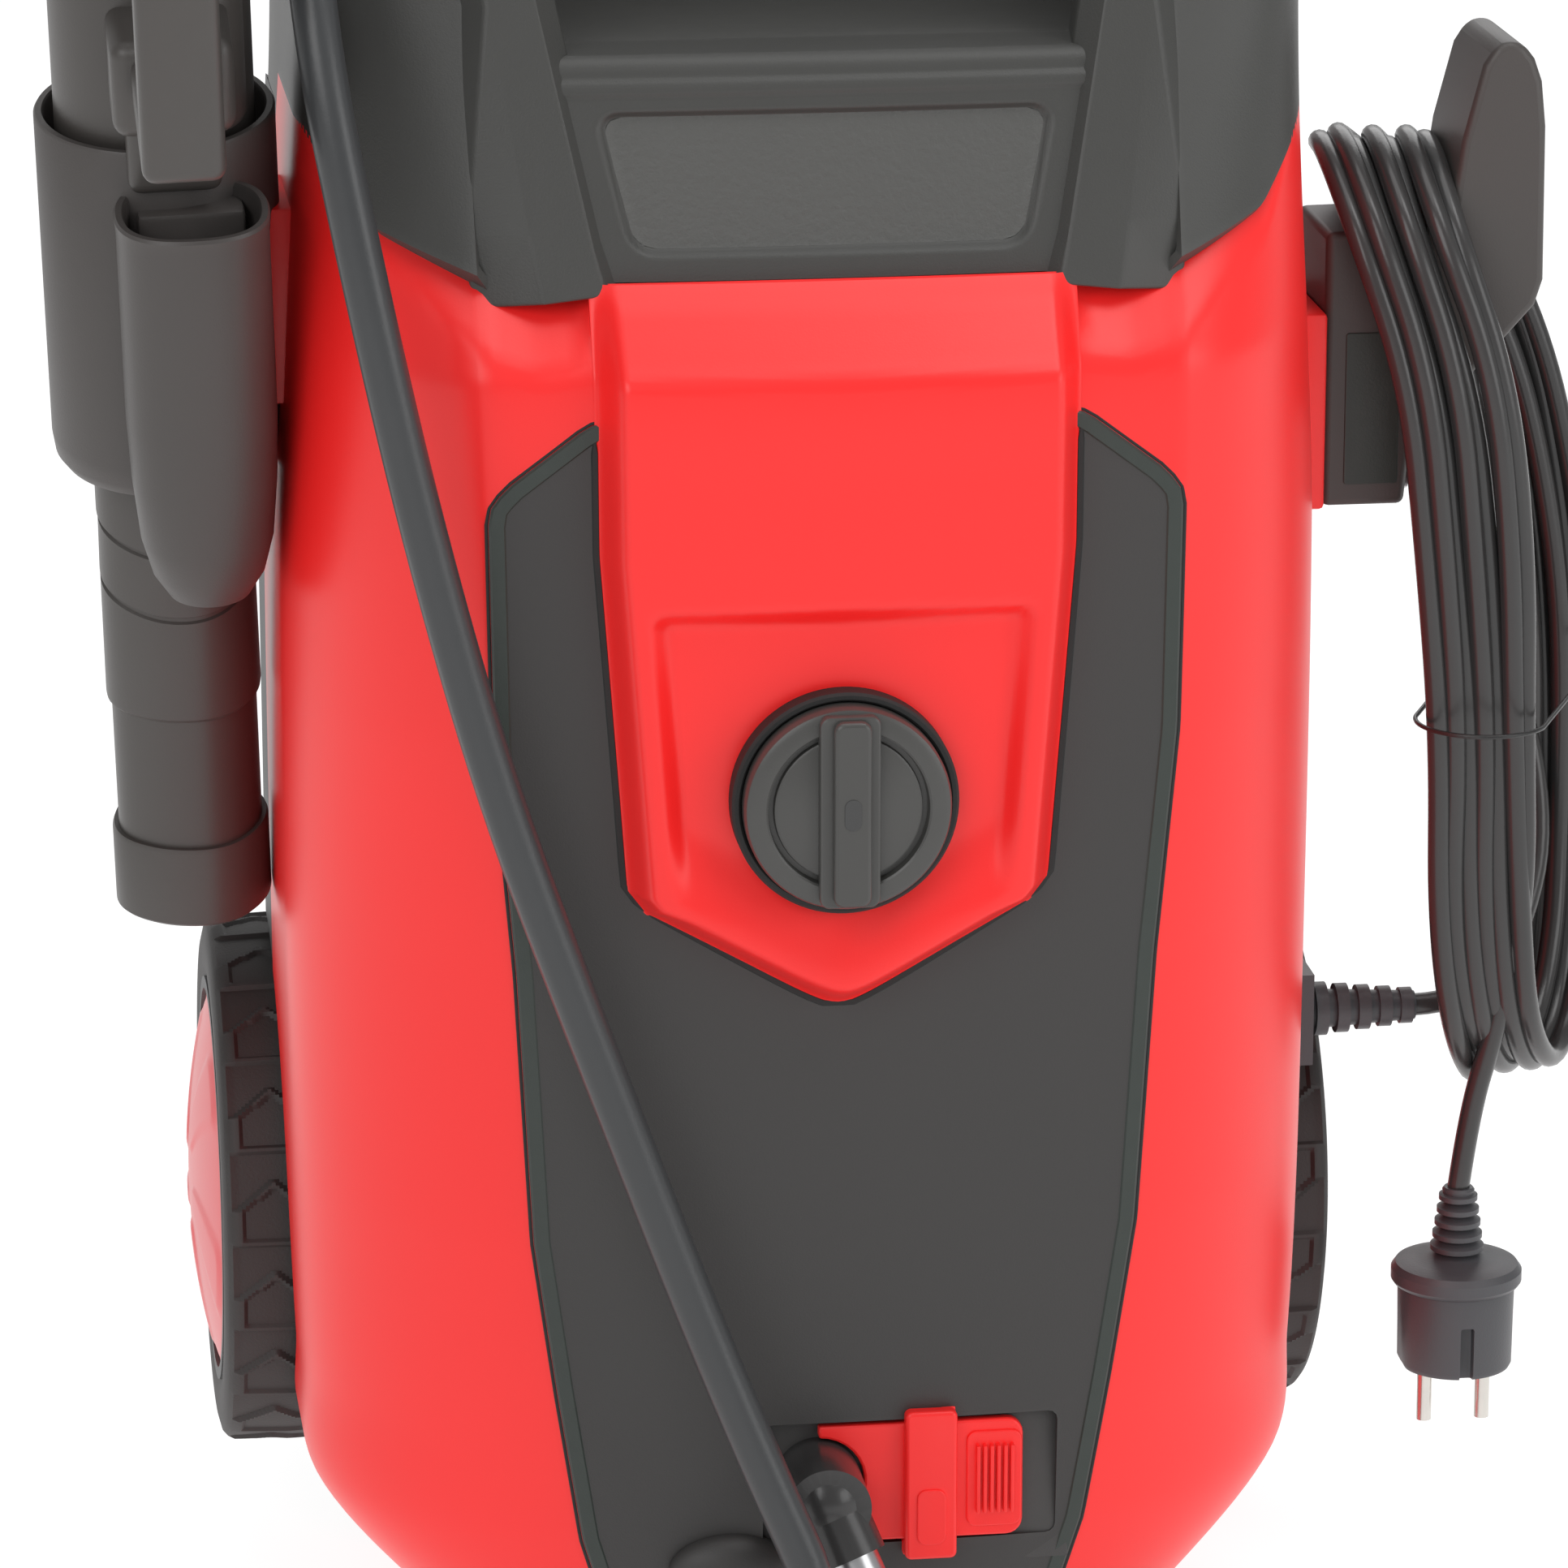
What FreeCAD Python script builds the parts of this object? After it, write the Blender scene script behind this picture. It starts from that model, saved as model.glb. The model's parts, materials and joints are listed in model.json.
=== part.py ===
import FreeCAD, Part

import math
import os

import Sketcher

# Upright electric pressure washer, millimetres. Front is -Y, up is +Z, and +X is on the right of someone
# who faces the front. The origin is on the floor, in the middle of the machine's footprint.

V = FreeCAD.Vector
ROT = FreeCAD.Rotation
PLACE = FreeCAD.Placement

os.makedirs("parts", exist_ok=True)
doc = FreeCAD.newDocument("pressure_washer")

# ---------------------------------------------------------------- driving sizes

DRIVING = {
    # shell
    "shell_half": (158.5, "half width of the shell"),
    "front_flat": (68.0, "half width of the flat front"),
    "front_reach": (152.0, "how far forward the tongue stands"),
    "rear_reach": (96.0, "how far back the shell stands"),
    "shell_base": (8.0, "height of the shell's lower edge"),
    "tip_rise": (494.0, "height of the shell's upper corners"),
    "brow_rise": (457.0, "height of the shell's upper edge in the middle"),
    "cover_top": (590.0, "height of the top cover"),
    "wall": (4.0, "wall of the shells"),
    "split": (30.0, "place of the joint between front and rear shell"),
    "inset": (2.0, "depth of the front panel's recess"),
    "gap": (0.3, "gap round inserted panels and buttons"),
    "running": (0.05, "radial clearance of a running fit"),
    # base
    "tray_rise": (4.0, "height of the base tray over the floor"),
    "foot_radius": (13.0, "radius of a foot"),
    "foot_across": (78.0, "half the distance between feet, across"),
    "foot_front": (92.0, "distance of the front feet from the middle"),
    "foot_rear": (62.0, "distance of the rear feet from the middle"),
    # wheels
    "wheel_radius": (86.0, "radius of the wheels"),
    "wheel_width": (40.0, "width of the wheels"),
    "wheel_face": (178.0, "distance of a wheel's outer face from the middle"),
    "axle_back": (70.0, "distance of the axle behind the middle"),
    "axle_rise": (120.0, "height of the axle"),
    "axle_radius": (6.0, "radius of the axle"),
    "rim_radius": (66.0, "radius of the wheel's rim"),
    "wheel_gap": (6.0, "room round a wheel in its well"),
    # knob
    "knob_rise": (305.0, "height of the knob"),
    "knob_radius": (31.0, "radius of the knob"),
    "knob_depth": (16.0, "how far the knob stands out"),
    "spindle_radius": (4.0, "radius of the switch spindle"),
    # handle
    "tube_radius": (10.0, "radius of a handle tube"),
    "tube_wall": (1.5, "wall of a handle tube"),
    "tube_across": (112.0, "distance of a handle tube from the middle"),
    "tube_back": (17.0, "distance of a handle tube behind the shell's rear face"),
    "tube_foot": (200.0, "height of the lower end of a stored handle tube"),
    "grip_rise": (622.0, "height of the underside of the stored grip"),
    "grip_thick": (30.0, "thickness of the grip"),
    # motor and pump
    "pump_front": (10.0, "distance of the pump axis in front of the middle"),
    "pump_radius": (44.0, "radius of the pump head"),
    "pump_base": (40.0, "height of the pump head's underside"),
    "pump_top": (110.0, "height of the pump head's piston face"),
    "piston_radius": (8.0, "radius of a piston"),
    "piston_circle": (22.0, "radius of the pistons' circle"),
    "stroke": (8.0, "travel of a piston"),
    "motor_radius": (56.0, "radius of the motor can"),
    "motor_base": (165.0, "height of the motor's lower end"),
    "motor_top": (300.0, "height of the motor's upper end"),
    "rotor_radius": (30.0, "radius of the rotor"),
    "air_gap": (0.5, "gap between rotor and stator"),
    # water
    "outlet_rise": (84.0, "height of the pressure outlet"),
    "outlet_left": (5.0, "distance of the outlet left of the middle"),
    "outlet_radius": (13.0, "radius of the outlet coupling"),
    "inlet_right": (48.0, "distance of the inlet right of the middle"),
    "inlet_rise": (84.0, "height of the water inlet"),
    "inlet_radius": (13.2, "radius of the water inlet's thread"),
    "inlet_length": (16.0, "length of the water inlet's thread"),
    # gun and holder
    "cup_radius": (36.0, "outer radius of the gun cup"),
    "cup_depth": (116.0, "depth of the gun cup"),
    "cup_wall": (3.0, "wall of the cups"),
    "cup_left": (193.0, "distance of the gun cup left of the middle"),
    "cup_front": (42.0, "distance of the gun cup in front of the middle"),
    "cup_rise": (497.0, "height of the gun cup's rim"),
    "barrel_radius": (23.8, "radius of the gun's barrel"),
    "barrel_length": (270.0, "length of the barrel below the rim"),
    "gun_radius": (30.0, "radius of the gun's body"),
    "gun_tilt": (13.0, "lean of the gun, in degrees"),
    "gun_lean": (-2.0, "sideways lean of the gun, in degrees"),
    # cords
    "hose_diameter": (13.5, "outer diameter of the high-pressure hose"),
    "cord_diameter": (7.2, "outer diameter of the power cord"),
}


class Size:
    """A number together with the expression that reads it from the sheet."""

    def __init__(self, value, text):
        self.value = float(value)
        self.text = text

    def __add__(self, other):
        other = size(other)
        return Size(self.value + other.value, f"({self.text} + {other.text})")

    def __sub__(self, other):
        other = size(other)
        return Size(self.value - other.value, f"({self.text} - {other.text})")

    def __mul__(self, other):
        other = size(other)
        return Size(self.value * other.value, f"({self.text} * {other.text})")

    def __truediv__(self, other):
        other = size(other)
        return Size(self.value / other.value, f"({self.text} / {other.text})")

    def __neg__(self):
        return Size(-self.value, f"(-1 * {self.text})")

    __radd__ = __add__

    def __rsub__(self, other):
        return size(other) - self

    def __rmul__(self, other):
        return size(other) * self


def size(item):
    return item if isinstance(item, Size) else Size(item, f"{float(item):.6f}")


sheet = doc.addObject("Spreadsheet::Sheet", "Sizes")
sheet.set("A1", "size")
sheet.set("B1", "value")
sheet.set("C1", "what it is")


class Sizes:
    """Every driving size by name."""


S = Sizes()
for row, (alias, (number, note)) in enumerate(DRIVING.items(), start=2):
    sheet.set(f"A{row}", alias)
    sheet.set(f"B{row}", str(number))
    sheet.setAlias(f"B{row}", alias)
    sheet.set(f"C{row}", note)
    setattr(S, alias, Size(number, f"Sizes.{alias}"))
doc.recompute()

# the handle stands behind the rear shell, so its line follows that shell
tube_line = S.rear_reach + S.tube_back

# ---------------------------------------------------------------- building blocks

LAID = {
    "x": ROT(V(0, 1, 0), 90),
    "y": ROT(V(1, 0, 0), -90),
    "z": ROT(),
}
nodes = []


def bind(item, **properties):
    """Set each property to a size, so that it follows the sheet."""
    for name, value in properties.items():
        item.setExpression(name, size(value).text)
    return item


def place(item, at, turn=None):
    """Put an object at three sizes, turned if asked."""
    item.Placement = PLACE(V(*[size(a).value for a in at]), turn or ROT())
    for axis, value in zip("xyz", at, strict=True):
        item.setExpression(f"Placement.Base.{axis}", size(value).text)
    return item


def block(name, low, high):
    """A box between two corners."""
    item = doc.addObject("Part::Box", name)
    spans = [size(b) - size(a) for a, b in zip(low, high, strict=True)]
    bind(item, Length=spans[0], Width=spans[1], Height=spans[2])
    return place(item, low)


def rod(name, axis, start, length, radius):
    """A cylinder that starts at a point and runs along +X, +Y or +Z."""
    item = doc.addObject("Part::Cylinder", name)
    bind(item, Radius=radius, Height=length)
    return place(item, start, LAID[axis])


def cone(name, axis, start, length, radius, end_radius):
    item = doc.addObject("Part::Cone", name)
    bind(item, Radius1=radius, Radius2=end_radius, Height=length)
    return place(item, start, LAID[axis])


def cut(name, base, *tools):
    tool = tools[0]
    if len(tools) > 1:
        tool = fuse(name + "_tool", *tools)
    item = doc.addObject("Part::Cut", name)
    item.Base = base
    item.Tool = tool
    return item


def fuse(name, *shapes):
    item = doc.addObject("Part::MultiFuse", name)
    item.Shapes = list(shapes)
    item.Refine = True
    return item


def common(name, *shapes):
    item = doc.addObject("Part::MultiCommon", name)
    item.Shapes = list(shapes)
    return item


def group(name, *shapes):
    """Separate solids kept together, such as a set of screws."""
    item = doc.addObject("Part::Compound", name)
    item.Links = list(shapes)
    return item


def pad(name, plane, outline, start, length):
    """A body padded from an outline on one of its origin planes, from start along the plane's normal.
    XY pads run along +Z, XZ pads along +Y and YZ pads along +X."""
    body = doc.addObject("PartDesign::Body", name)
    sketch = body.newObject("Sketcher::SketchObject", name + "_outline")
    face = next(f for f in body.Origin.OriginFeatures if f.Role == plane + "_Plane")
    sketch.AttachmentSupport = [(face, "")]
    sketch.MapMode = "FlatFace"
    corners = [(size(a), size(b)) for a, b in outline]
    for i, (a, b) in enumerate(corners):
        c, d = corners[(i + 1) % len(corners)]
        line = Part.LineSegment(V(a.value, b.value, 0), V(c.value, d.value, 0))
        sketch.addGeometry(line, False)
    for i, (a, b) in enumerate(corners):
        after = (i + 1) % len(corners)
        sketch.addConstraint(Sketcher.Constraint("Coincident", i, 2, after, 1))
        for kind, value in (("DistanceX", a), ("DistanceY", b)):
            at = sketch.addConstraint(Sketcher.Constraint(kind, -1, 1, i, 1, value.value))
            sketch.setExpression(f"Constraints[{at}]", value.text)
    feature = body.newObject("PartDesign::Pad", name + "_pad")
    feature.Profile = sketch
    feature.Reversed = plane == "XZ"
    feature.setExpression("Length", size(length).text)
    body.Tip = feature
    shift = {"XY": (0, 0, start), "XZ": (0, start, 0), "YZ": (start, 0, 0)}[plane]
    return place(body, shift)


def shaped(name, shape, at=(0, 0, 0), turn=None):
    """A form that has no simpler feature, such as a swept cord."""
    item = doc.addObject("Part::Feature", name)
    item.Shape = shape
    item.Placement = PLACE(V(*at), turn or ROT())
    return item


def node(item, label):
    """Name a finished sub-part."""
    item.Label = label
    nodes.append(item)
    return item


def mirrored_outline(half):
    """A closed outline from its right half, listed from one end of the mirror line to the other."""
    left = [(-size(a), b) for a, b in reversed(half) if size(a).value != 0]
    return list(half) + left


# ---------------------------------------------------------------- cord paths


def rounded(points, closed=False):
    """Straight runs joined by tangent arcs, each as large as its two runs allow."""
    points = [V(*p) for p in points]
    count = len(points)
    edges = []
    radii = []
    turns = range(count) if closed else range(1, count - 1)
    cuts = {}
    for i in turns:
        before, here, after = points[i - 1], points[i], points[(i + 1) % count]
        one = before - here
        two = after - here
        reach = 0.45 * min(one.Length, two.Length)
        one.normalize()
        two.normalize()
        half_turn = (math.pi - one.getAngle(two)) / 2
        radius = reach / math.tan(half_turn)
        middle = (one + two).normalize() * (radius / math.cos(half_turn) - radius)
        cuts[i] = (here + one * reach, here + middle, here + two * reach)
        radii.append(radius)
    last = None
    if not closed:
        last = points[0]
    for i in turns:
        start, middle, end = cuts[i]
        if last is not None:
            edges.append(Part.LineSegment(last, start).toShape())
        edges.append(Part.Arc(start, middle, end).toShape())
        last = end
    finish = cuts[0][0] if closed else points[-1]
    edges.append(Part.LineSegment(last, finish).toShape())
    return Part.Wire(edges), radii


def swept(edges, radius):
    """A round section carried along edges that follow on from each other."""
    path = Part.Wire(edges)
    first = path.Edges[0]
    at = first.FirstParameter
    ring = Part.Wire([Part.Circle(first.valueAt(at), first.tangentAt(at), radius).toShape()])
    return path.makePipeShell([ring], True, False)


def tube(label, points, radius, closed=False):
    """A cord's stretch, or a bundle's outer form when it is closed."""
    path, radii = rounded(points, closed)
    edges = path.Edges
    if closed:
        half = len(edges) // 2
        solid = swept(edges[:half], radius).fuse(swept(edges[half:], radius)).Solids[0]
    else:
        solid = swept(edges, radius).Solids[0]
    expected = math.pi * radius**2 * path.Length
    print(
        f"{label}: length {path.Length:.0f}, radii {min(radii):.0f} to {max(radii):.0f}, "
        f"volume {solid.Volume / expected:.3f} of section times length"
    )
    return node(shaped(label, solid), label)


# ---------------------------------------------------------------- the housing's form


def housing_form(name, inset):
    """The outer form of the housing, with its walls moved in by inset."""
    inset = size(inset)
    half = S.shell_half - inset
    front = S.front_reach - inset
    rear = S.rear_reach - inset
    plan = mirrored_outline(
        [
            (S.front_flat - inset * 0.4, -front),
            (S.front_flat + 36.0 - inset * 0.6, 14.0 - front),
            (half - 18.0, 50.0 - front),
            (half, 98.0 - front),
            (half, rear - 30.0),
            (half - 16.0, rear),
        ]
    )
    upright = mirrored_outline(
        [
            (104.0 - inset, S.shell_base),
            (half - 6.5, S.shell_base + 53.0 - inset * 0.4),
            (half - 2.0, S.shell_base + 91.0),
            (half, S.shell_base + 170.0),
            (half, S.tip_rise - 130.0),
            (half - 2.5, S.tip_rise - 74.0),
            (half - 6.5, S.tip_rise),
            (half - 8.0, S.cover_top - 26.0),
            (half - 24.0, S.cover_top - inset),
        ]
    )
    side = [
        (24.0 - front, S.shell_base),
        (15.0 - front, S.shell_base + 60.0),
        (2.0 - front, S.knob_rise - 75.0),
        (-front, S.knob_rise - 30.0),
        (9.0 - front, S.tip_rise - 62.0),
        (28.0 - front, S.brow_rise),
        (50.0 - front, S.brow_rise + 62.0),
        (70.0 - front, S.cover_top - inset),
        (rear, S.cover_top - inset),
        (rear, S.shell_base),
    ]
    wide = S.shell_half * 2.0
    return common(
        name,
        pad(name + "_plan", "XY", plan, S.shell_base, S.cover_top),
        pad(name + "_upright", "XZ", upright, -wide, wide * 2.0),
        pad(name + "_side", "YZ", side, -wide, wide * 2.0),
    )


def brow(name, rise, upwards):
    """The space above or below the line where red shell and black cover meet."""
    line = [
        (0.0, S.brow_rise + rise),
        (S.front_flat, S.brow_rise + rise),
        (S.front_flat + 20.0, S.brow_rise - 4.0 + rise),
        (S.shell_half - 20.0, S.tip_rise - 24.0 + rise),
        (S.shell_half + 4.0, S.tip_rise + rise),
    ]
    far = S.cover_top + 40.0 if upwards else size(-40.0)
    outline = mirrored_outline(line + [(S.shell_half + 4.0, far), (0.0, far)])
    return pad(name, "XZ", outline, -S.shell_half * 2.0, S.shell_half * 4.0)


def wheel_well(name, side, grow):
    """The space that a wheel turns in, made larger all round by grow."""
    inner = S.wheel_face - S.wheel_width - S.wheel_gap - grow
    start = inner if side > 0 else -(S.wheel_face + 40.0)
    radius = S.wheel_radius + S.wheel_gap + grow
    length = S.wheel_face + 40.0 - inner
    return rod(name, "x", (start, S.axle_back, S.axle_rise), length, radius)


SIDES = (("left", -1), ("right", 1))

outer = housing_form("outer_form", 0.0)
cavity = housing_form("cavity_form", S.wall)
recess_form = housing_form("recess_form", S.inset)
cavity_floor = block(
    "cavity_floor",
    (S.wall - 104.0, S.wall + 24.0 - S.front_reach, S.shell_base - 2.0),
    (104.0 - S.wall, S.rear_reach - S.wall, S.shell_base + 12.0),
)
liners = [wheel_well("liner_" + n, s, S.wall) for n, s in SIDES]
wells = [wheel_well("well_" + n, s, 0.0) for n, s in SIDES]
room_inside = cut("room_inside", fuse("open_cavity", cavity, cavity_floor), *liners)
housing = cut("housing", outer, room_inside, *wells)

below_brow = brow("below_brow", -S.gap, False)
above_brow = brow("above_brow", 0.0, True)
red = common("red_housing", housing, below_brow)


# ---------------------------------------------------------------- front panel and recesses

panel_half = [
    (0.0, S.knob_rise - 67.0),
    (56.0, S.knob_rise - 38.0),
    (64.0, S.knob_rise - 28.0),
    (72.0, S.knob_rise + 112.0),
    (99.0, S.knob_rise + 97.0),
    (104.0, S.knob_rise + 86.0),
    (102.0, S.knob_rise - 5.0),
    (95.0, S.knob_rise - 55.0),
    (85.0, S.knob_rise - 190.0),
    (76.0, S.shell_base + 38.0),
    (66.0, S.shell_base + 14.0),
    (0.0, S.shell_base + 14.0),
]


def panel_prism(name):
    outline = mirrored_outline(panel_half)
    return pad(name, "XZ", outline, -S.front_reach - 20.0, S.front_reach)


panel_sheet = cut("panel_sheet", outer, recess_form)
panel_blank = common("panel_blank", panel_sheet, panel_prism("panel_outline"))
panel_recess = common("panel_recess", cut("recess_sheet", outer, recess_form), panel_prism("recess_outline"))

lock_low = (-34.0, -S.front_reach - 10.0, S.outlet_rise - 27.0)
lock_high = (70.0, 22.0 - S.front_reach, S.outlet_rise + 25.0)
lock_pocket = block("lock_pocket", lock_low, lock_high)
lock_backing = common(
    "lock_backing",
    recess_form,
    block(
        "lock_backing_block",
        (-40.0, -S.front_reach, S.outlet_rise - 33.0),
        (76.0, 28.0 - S.front_reach, S.outlet_rise + 31.0),
    ),
)
outlet_hole = rod(
    "outlet_hole",
    "y",
    (-S.outlet_left, -S.front_reach - 20.0, S.outlet_rise),
    70.0,
    S.outlet_radius + S.gap,
)
front_panel = cut(
    "front_panel",
    panel_blank,
    lock_pocket,
    block("panel_pocket", lock_low, lock_high),
)
node(front_panel, "front_panel")

# ---------------------------------------------------------------- shells

holder_pad = block(
    "holder_pad",
    (-S.shell_half - 5.5, -50.0, S.tip_rise - 88.0),
    (-S.shell_half + S.wall, 4.0, S.tip_rise - 28.0),
)
hook_pad = block(
    "hook_pad",
    (S.shell_half - S.wall, -38.0, S.tip_rise - 134.0),
    (S.shell_half + 7.5, 16.0, S.tip_rise - 72.0),
)
spindle_hole = rod(
    "spindle_hole",
    "y",
    (0.0, -S.front_reach - 10.0, S.knob_rise),
    40.0,
    S.spindle_radius + 3.0,
)
gland_hole = rod("gland_hole", "x", (S.shell_half - 30.0, -14.0, 190.0), 60.0, 9.0)
axle_hole = rod(
    "axle_hole",
    "x",
    (-S.wheel_face - 10.0, S.axle_back, S.axle_rise),
    S.wheel_face * 2.0 + 20.0,
    S.axle_radius + S.running,
)
front_side = block(
    "front_side",
    (-S.wheel_face - 60.0, -S.front_reach - 60.0, -10.0),
    (S.wheel_face + 60.0, S.split, S.cover_top + 60.0),
)
rear_side = block(
    "rear_side",
    (-S.wheel_face - 60.0, S.split + S.gap, -10.0),
    (S.wheel_face + 60.0, S.rear_reach + 60.0, S.cover_top + 60.0),
)
front_blank = common("front_blank", fuse("front_solid", red, lock_backing, holder_pad, hook_pad), front_side)
front_shell = cut(
    "front_shell", front_blank, panel_recess, lock_pocket, outlet_hole, spindle_hole, gland_hole, axle_hole
)
node(front_shell, "front_shell")

sleeve_solids = []
sleeve_bores = []
for name, side in SIDES:
    middle = S.tube_across * side
    sleeve_solids.append(
        rod("sleeve_" + name, "z", (middle, tube_line, S.tube_foot - 10.0), 380.0, S.tube_radius + 4.0)
    )
    sleeve_solids.append(
        block(
            "sleeve_rib_" + name,
            (middle - 6.0, S.rear_reach - S.wall, S.tube_foot + 6.0),
            (middle + 6.0, tube_line - S.tube_radius - 1.0, S.brow_rise - 6.0),
        )
    )
    sleeve_bores.append(
        rod(
            "sleeve_bore_" + name,
            "z",
            (middle, tube_line, S.tube_foot - 20.0),
            400.0,
            S.tube_radius + S.running,
        )
    )
inlet_hole = rod(
    "inlet_hole",
    "y",
    (S.inlet_right, S.rear_reach - 20.0, S.inlet_rise),
    40.0,
    S.inlet_radius + 4.0,
)
hook_screw_holes = [
    rod(f"hook_screw_hole_{i}", "y", (0.0, S.rear_reach - 12.0, S.tip_rise - 60.0 + 36.0 * i), 30.0, 2.2)
    for i in range(2)
]
vents = [
    block(
        f"vent_{i}",
        (-60.0, S.rear_reach - 10.0, S.shell_base + 210.0 + 12.0 * i),
        (60.0, S.rear_reach + 10.0, S.shell_base + 215.0 + 12.0 * i),
    )
    for i in range(6)
]
rear_blank = fuse("rear_blank", common("rear_half", red, rear_side), *sleeve_solids)
rear_shell = cut(
    "rear_shell", rear_blank, inlet_hole, axle_hole, *sleeve_bores, *vents, *hook_screw_holes
)
node(rear_shell, "rear_shell")

deck_outline = mirrored_outline(
    [
        (S.front_flat, S.brow_rise + 62.0),
        (S.front_flat + 18.0, S.cover_top + 20.0),
    ]
)
deck_cut = pad("deck_cut", "XZ", deck_outline, -S.front_reach, S.front_reach + 20.0)
deck_plate = block(
    "deck_plate",
    (-S.front_flat - 19.0, 50.0 - S.front_reach, S.brow_rise + 57.0),
    (S.front_flat + 19.0, 22.0, S.brow_rise + 62.0),
)
deck_back = block(
    "deck_back",
    (-S.front_flat - 19.0, 18.0, S.brow_rise + 57.0),
    (S.front_flat + 19.0, 24.0, S.cover_top - 4.0),
)
deck_sides = [
    block(
        "deck_side_" + name,
        ((S.front_flat + 15.0) * side - 3.0, 76.0 - S.front_reach, S.brow_rise + 57.0),
        ((S.front_flat + 15.0) * side + 3.0, 24.0, S.cover_top - 4.0),
    )
    for name, side in SIDES
]
cover_blank = common("cover_blank", housing, above_brow)
top_cover = fuse("top_cover", cut("cover_open", cover_blank, deck_cut), deck_plate, deck_back, *deck_sides)
node(top_cover, "top_cover")

# ---------------------------------------------------------------- base

tray = block(
    "base_tray",
    (-103.0, 26.0 - S.front_reach, S.tray_rise),
    (103.0, S.rear_reach - 2.0, S.shell_base),
)
node(tray, "base_tray")
feet = [
    rod(f"foot_{n}_{place_name}", "z", (S.foot_across * side, along, 0.0), S.tray_rise, S.foot_radius)
    for n, side in SIDES
    for place_name, along in (("front", -S.foot_front), ("rear", S.foot_rear))
]
node(group("rubber_feet", *feet), "rubber_feet")

# ---------------------------------------------------------------- axle and wheels

axle_reach = S.wheel_face - 3.0
node(
    rod(
        "axle",
        "x",
        (-axle_reach, S.axle_back, S.axle_rise),
        axle_reach * 2.0,
        S.axle_radius,
    ),
    "axle",
)
clips = []
for name, side in SIDES:
    inner = S.wheel_face - S.wheel_width
    low = inner if side > 0 else -S.wheel_face

    def disc(part, start, length, radius):
        return rod(f"{part}_{name}", "x", (start, S.axle_back, S.axle_rise), length, radius)

    tyre = cut(
        "tyre_" + name,
        disc("tyre_disc", low, S.wheel_width, S.wheel_radius),
        disc("tyre_hole", low - 5.0, S.wheel_width + 10.0, S.rim_radius),
    )
    node(tyre, "tyre_" + name)
    dish_start = S.wheel_face - 16.0 if side > 0 else -S.wheel_face - 4.0
    back_start = inner - 4.0 if side > 0 else -inner - 16.0
    rim = cut(
        "rim_" + name,
        disc("rim_disc", low, S.wheel_width, S.rim_radius),
        disc("rim_dish", dish_start, 20.0, S.rim_radius - 4.0),
        disc("rim_back", back_start, 20.0, S.rim_radius - 4.0),
        disc("rim_bore", low - 5.0, S.wheel_width + 10.0, S.axle_radius + S.running),
    )
    node(rim, "rim_" + name)
    cap_low = S.wheel_face - 3.0 if side > 0 else -S.wheel_face - 3.0
    cap = cut(
        "hub_cap_" + name,
        fuse(
            "cap_solid_" + name,
            disc("cap_rim", cap_low, 6.0, S.rim_radius - 4.0),
            cone(
                "cap_dome_" + name,
                "x",
                (S.wheel_face + 3.0, S.axle_back, S.axle_rise),
                5.0,
                S.rim_radius - 4.0,
                S.rim_radius - 24.0,
            )
            if side > 0
            else cone(
                "cap_dome_" + name,
                "x",
                (-S.wheel_face - 8.0, S.axle_back, S.axle_rise),
                5.0,
                S.rim_radius - 24.0,
                S.rim_radius - 4.0,
            ),
        ),
        disc("cap_hollow", cap_low - 1.0 if side > 0 else -S.wheel_face - 1.0, 5.0, S.rim_radius - 8.0),
    )
    node(cap, "hub_cap_" + name)
    clip_low = S.wheel_face - 15.5 if side > 0 else -S.wheel_face + 12.5
    clips.append(
        cut(
            "clip_" + name,
            disc("clip_disc", clip_low, 3.0, S.axle_radius + 6.0),
            disc("clip_hole", clip_low - 1.0, 5.0, S.axle_radius),
        )
    )
node(group("axle_clips", *clips), "axle_clips")

# ---------------------------------------------------------------- knob and switch

face = -S.front_reach
seat = cut(
    "knob_seat",
    rod("seat_disc", "y", (0.0, face - 3.0, S.knob_rise), 4.0, S.knob_radius + 2.5),
    rod("seat_hole", "y", (0.0, face - 5.0, S.knob_rise), 10.0, S.spindle_radius + S.running),
    rod("seat_dish", "y", (0.0, face - 5.0, S.knob_rise), 3.0, S.knob_radius + S.gap),
)
seat_cut = rod("seat_cut", "y", (0.0, face - 5.0, S.knob_rise), 6.0, S.knob_radius + 2.5)
seated_shell = cut("front_shell_seated", front_shell, seat_cut)
nodes.remove(front_shell)
front_shell.Label = "front_shell_blank"
node(seated_shell, "front_shell")
node(seat, "knob_seat")
knob_back = face - 2.3
bar_half = 9.0
knob = fuse(
    "switch_knob",
    cut(
        "knob_body",
        rod("knob_disc", "y", (0.0, face - 9.0, S.knob_rise), 9.0 - 2.3, S.knob_radius),
        rod("knob_dish", "y", (0.0, face - 10.0, S.knob_rise), 4.0, S.knob_radius - 6.0),
    ),
    block(
        "knob_bar",
        (-bar_half, face - S.knob_depth, S.knob_rise - S.knob_radius + 2.0),
        (bar_half, knob_back, S.knob_rise + S.knob_radius - 2.0),
    ),
    rod("knob_spindle", "y", (0.0, knob_back - 1.0, S.knob_rise), 24.0, S.spindle_radius),
)
node(knob, "switch_knob")
switch = cut(
    "rotary_switch",
    block(
        "switch_box",
        (-22.0, S.wall + 5.0 - S.front_reach, S.knob_rise - 22.0),
        (22.0, S.wall + 40.0 - S.front_reach, S.knob_rise + 22.0),
    ),
    rod("switch_bore", "y", (0.0, -S.front_reach, S.knob_rise), 26.0, S.spindle_radius + S.running),
)
node(switch, "rotary_switch")

# ---------------------------------------------------------------- motor

axis_y = -S.pump_front


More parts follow.
